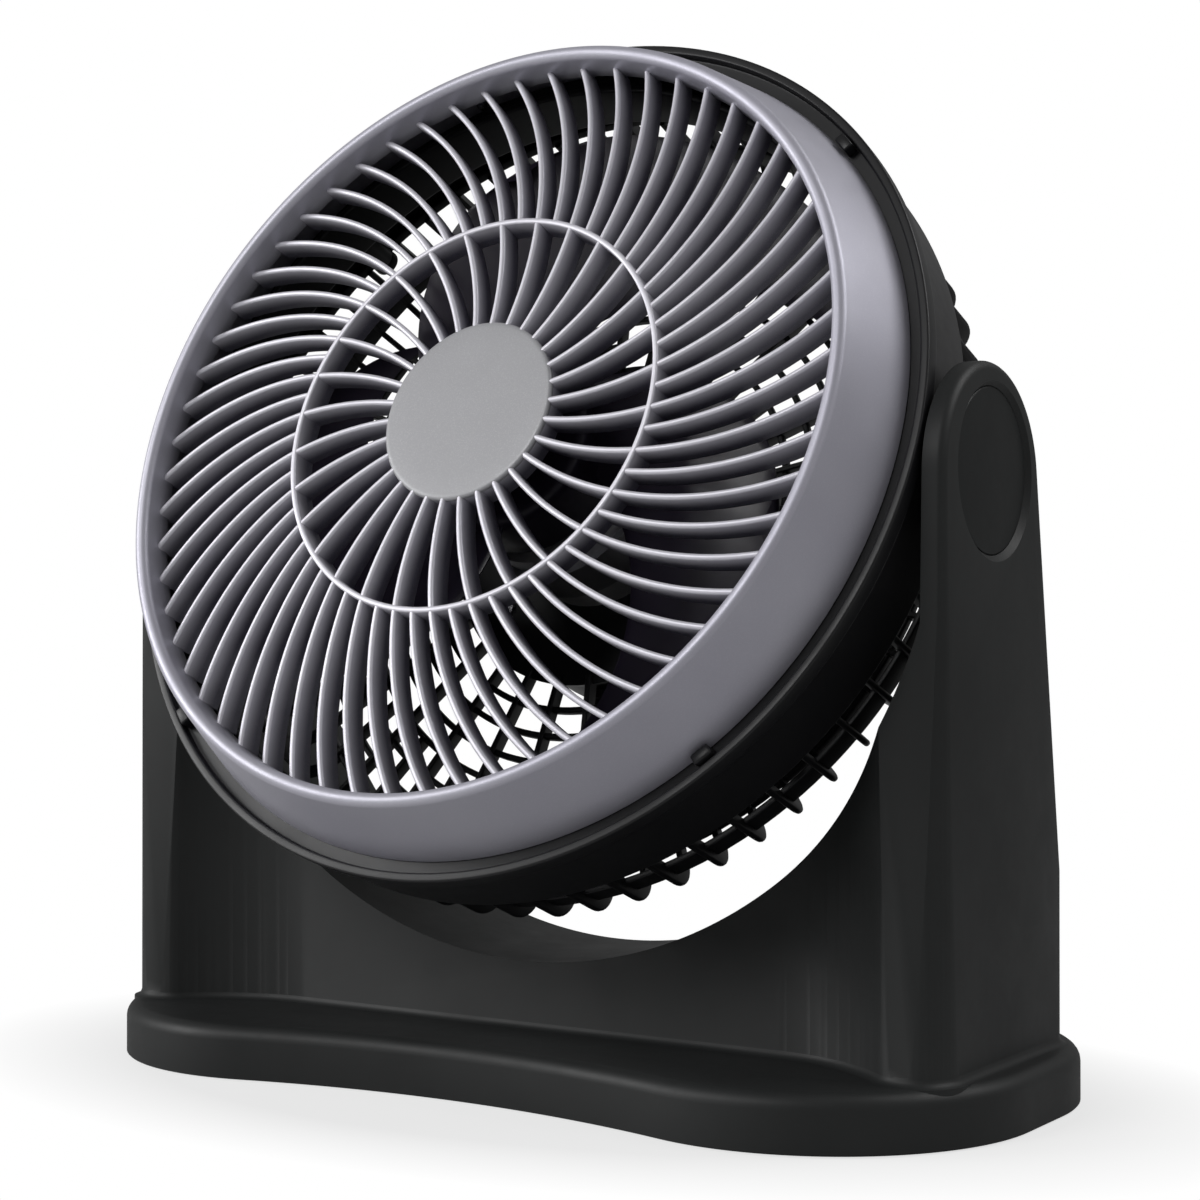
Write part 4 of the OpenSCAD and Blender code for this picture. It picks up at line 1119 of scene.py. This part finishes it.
kept = {
    "base_cover": "coverPlastic", "base_screws": "steel", "pivot_screws": "steel",
    "retaining_washers": "steel", "friction_washers": "nylon", "grille_screws": "steel",
    "guard_screws": "steel", "front_end_shield": "alloy", "rear_end_shield": "alloy",
    "stator_core": "core", "stator_windings": "copper", "front_bearing": "bronze",
    "rear_bearing": "bronze", "motor_bolts": "steel", "cover_screws": "steel",
    "speed_switch": "switch", "capacitor": "capacitor", "cord_gland": "rubber",
    "blade_nut": "knobPlastic", "motor_shaft": "shaft", "rotor_core": "core",
}
for node, finish in kept.items():
    obj = frame["nodes"][node]
    obj.data.materials.clear()
    obj.data.materials.append(finishes[finish])
print("kept solids finished:", len(kept))


# floor, light and camera

studio = {
    "floorColour": (0.55, 0.55, 0.55), "floorSize": 9.0, "shadowKept": 0.3,
    "shadowFrom": 0.165, "shadowTo": 0.235, "depthShare": 1.55, "worldLight": 0.22,
    "camera": (0.42159, -0.63645, 0.14537),
    "target": (0.00587, 0.00381, 0.15070), "lens": 70.95, "sensor": 36.0,
}


def floorFinish():
    f = Finish("studioFloor")
    base = f.blend(f.span(f.noise(3, 2), 0.3, 0.7, 0.0, 1.0),
                   shade(studio["floorColour"], 0.99), studio["floorColour"])
    lit = f.node("BsdfPrincipled", {}, {"Base Color": base, "Roughness": 0.9,
                                        "Specular IOR Level": 0.1})
    white = f.node("Emission", {}, {"Color": (1.0, 1.0, 1.0), "Strength": 1.0})
    seen = f.node("LightPath", output="Is Camera Ray")
    oval = f.node("VectorMath", {"operation": "MULTIPLY"}, {
        0: f.place(), 1: (1, studio["depthShare"], 0)})
    away = f.node("VectorMath", {"operation": "LENGTH"}, {0: oval}, output="Value")
    kept = f.span(away, studio["shadowFrom"], studio["shadowTo"], studio["shadowKept"], 0.0)
    mixed = f.node("MixShader", {}, {0: seen * (1 - kept), 1: lit, 2: white})
    f.tree.links.new(mixed.socket, f.out.inputs["Surface"])
    return f.material


def makeStudio():
    s = studio
    half = s["floorSize"] / 2
    mesh = bpy.data.meshes.new("floor")
    mesh.from_pydata([(-half, -half, 0), (half, -half, 0), (half, half, 0), (-half, half, 0)],
                     [], [(0, 1, 2, 3)])
    floor = bpy.data.objects.new("floor", mesh)
    bpy.context.scene.collection.objects.link(floor)
    mesh.materials.append(floorFinish())

    sky = bpy.data.worlds.new("studioWorld")
    bpy.context.scene.world = sky
    sky.use_nodes = True
    tree = sky.node_tree
    tree.nodes.clear()
    out = tree.nodes.new("ShaderNodeOutputWorld")
    mix = tree.nodes.new("ShaderNodeMixShader")
    soft = tree.nodes.new("ShaderNodeBackground")
    soft.inputs["Color"].default_value = (1, 1, 1, 1)
    soft.inputs["Strength"].default_value = s["worldLight"]
    seen = tree.nodes.new("ShaderNodeBackground")
    seen.inputs["Color"].default_value = (1, 1, 1, 1)
    seen.inputs["Strength"].default_value = 1.0
    path = tree.nodes.new("ShaderNodeLightPath")
    tree.links.new(path.outputs["Is Camera Ray"], mix.inputs[0])
    tree.links.new(soft.outputs[0], mix.inputs[1])
    tree.links.new(seen.outputs[0], mix.inputs[2])
    tree.links.new(mix.outputs[0], out.inputs["Surface"])


lamps = {
    # name: place, aim, width, height, watts
    "keyLamp": ((-1.55, -1.0, 0.75), (0, 0, 0.18), 0.8, 0.8, 20),
    "frontLamp": ((-0.5, -1.5, 1.2), (0, 0, 0.18), 0.6, 0.6, 12),
    "fillLamp": ((1.6, -0.9, 0.6), (0, 0, 0.15), 0.9, 1.2, 1.0),
    "topLamp": ((0.9, 0.5, 1.3), (0, 0, 0.2), 0.9, 0.9, 11),
}


def makeLamps():
    for name, (place, aim, width, height, watts) in lamps.items():
        data = bpy.data.lights.new(name, "AREA")
        data.shape = "RECTANGLE"
        data.size, data.size_y, data.energy = width, height, watts
        lamp = bpy.data.objects.new(name, data)
        lamp.location = place
        aimAt = Vector(aim) - Vector(place)
        lamp.rotation_euler = aimAt.to_track_quat("-Z", "Y").to_euler()
        bpy.context.scene.collection.objects.link(lamp)


def makeCamera():
    s = studio
    data = bpy.data.cameras.new("studioCamera")
    data.lens, data.sensor_width = s["lens"], s["sensor"]
    data.clip_start, data.clip_end = 0.01, 100
    camera = bpy.data.objects.new("studioCamera", data)
    bpy.context.scene.collection.objects.link(camera)
    camera.location = s["camera"]
    aimAt = Vector(s["target"]) - Vector(s["camera"])
    camera.rotation_mode = "QUATERNION"
    camera.rotation_quaternion = aimAt.to_track_quat("-Z", "Y")
    bpy.context.scene.camera = camera


makeStudio()
makeLamps()
makeCamera()
bpy.context.scene.view_settings.view_transform = "Standard"

bpy.context.view_layer.update()
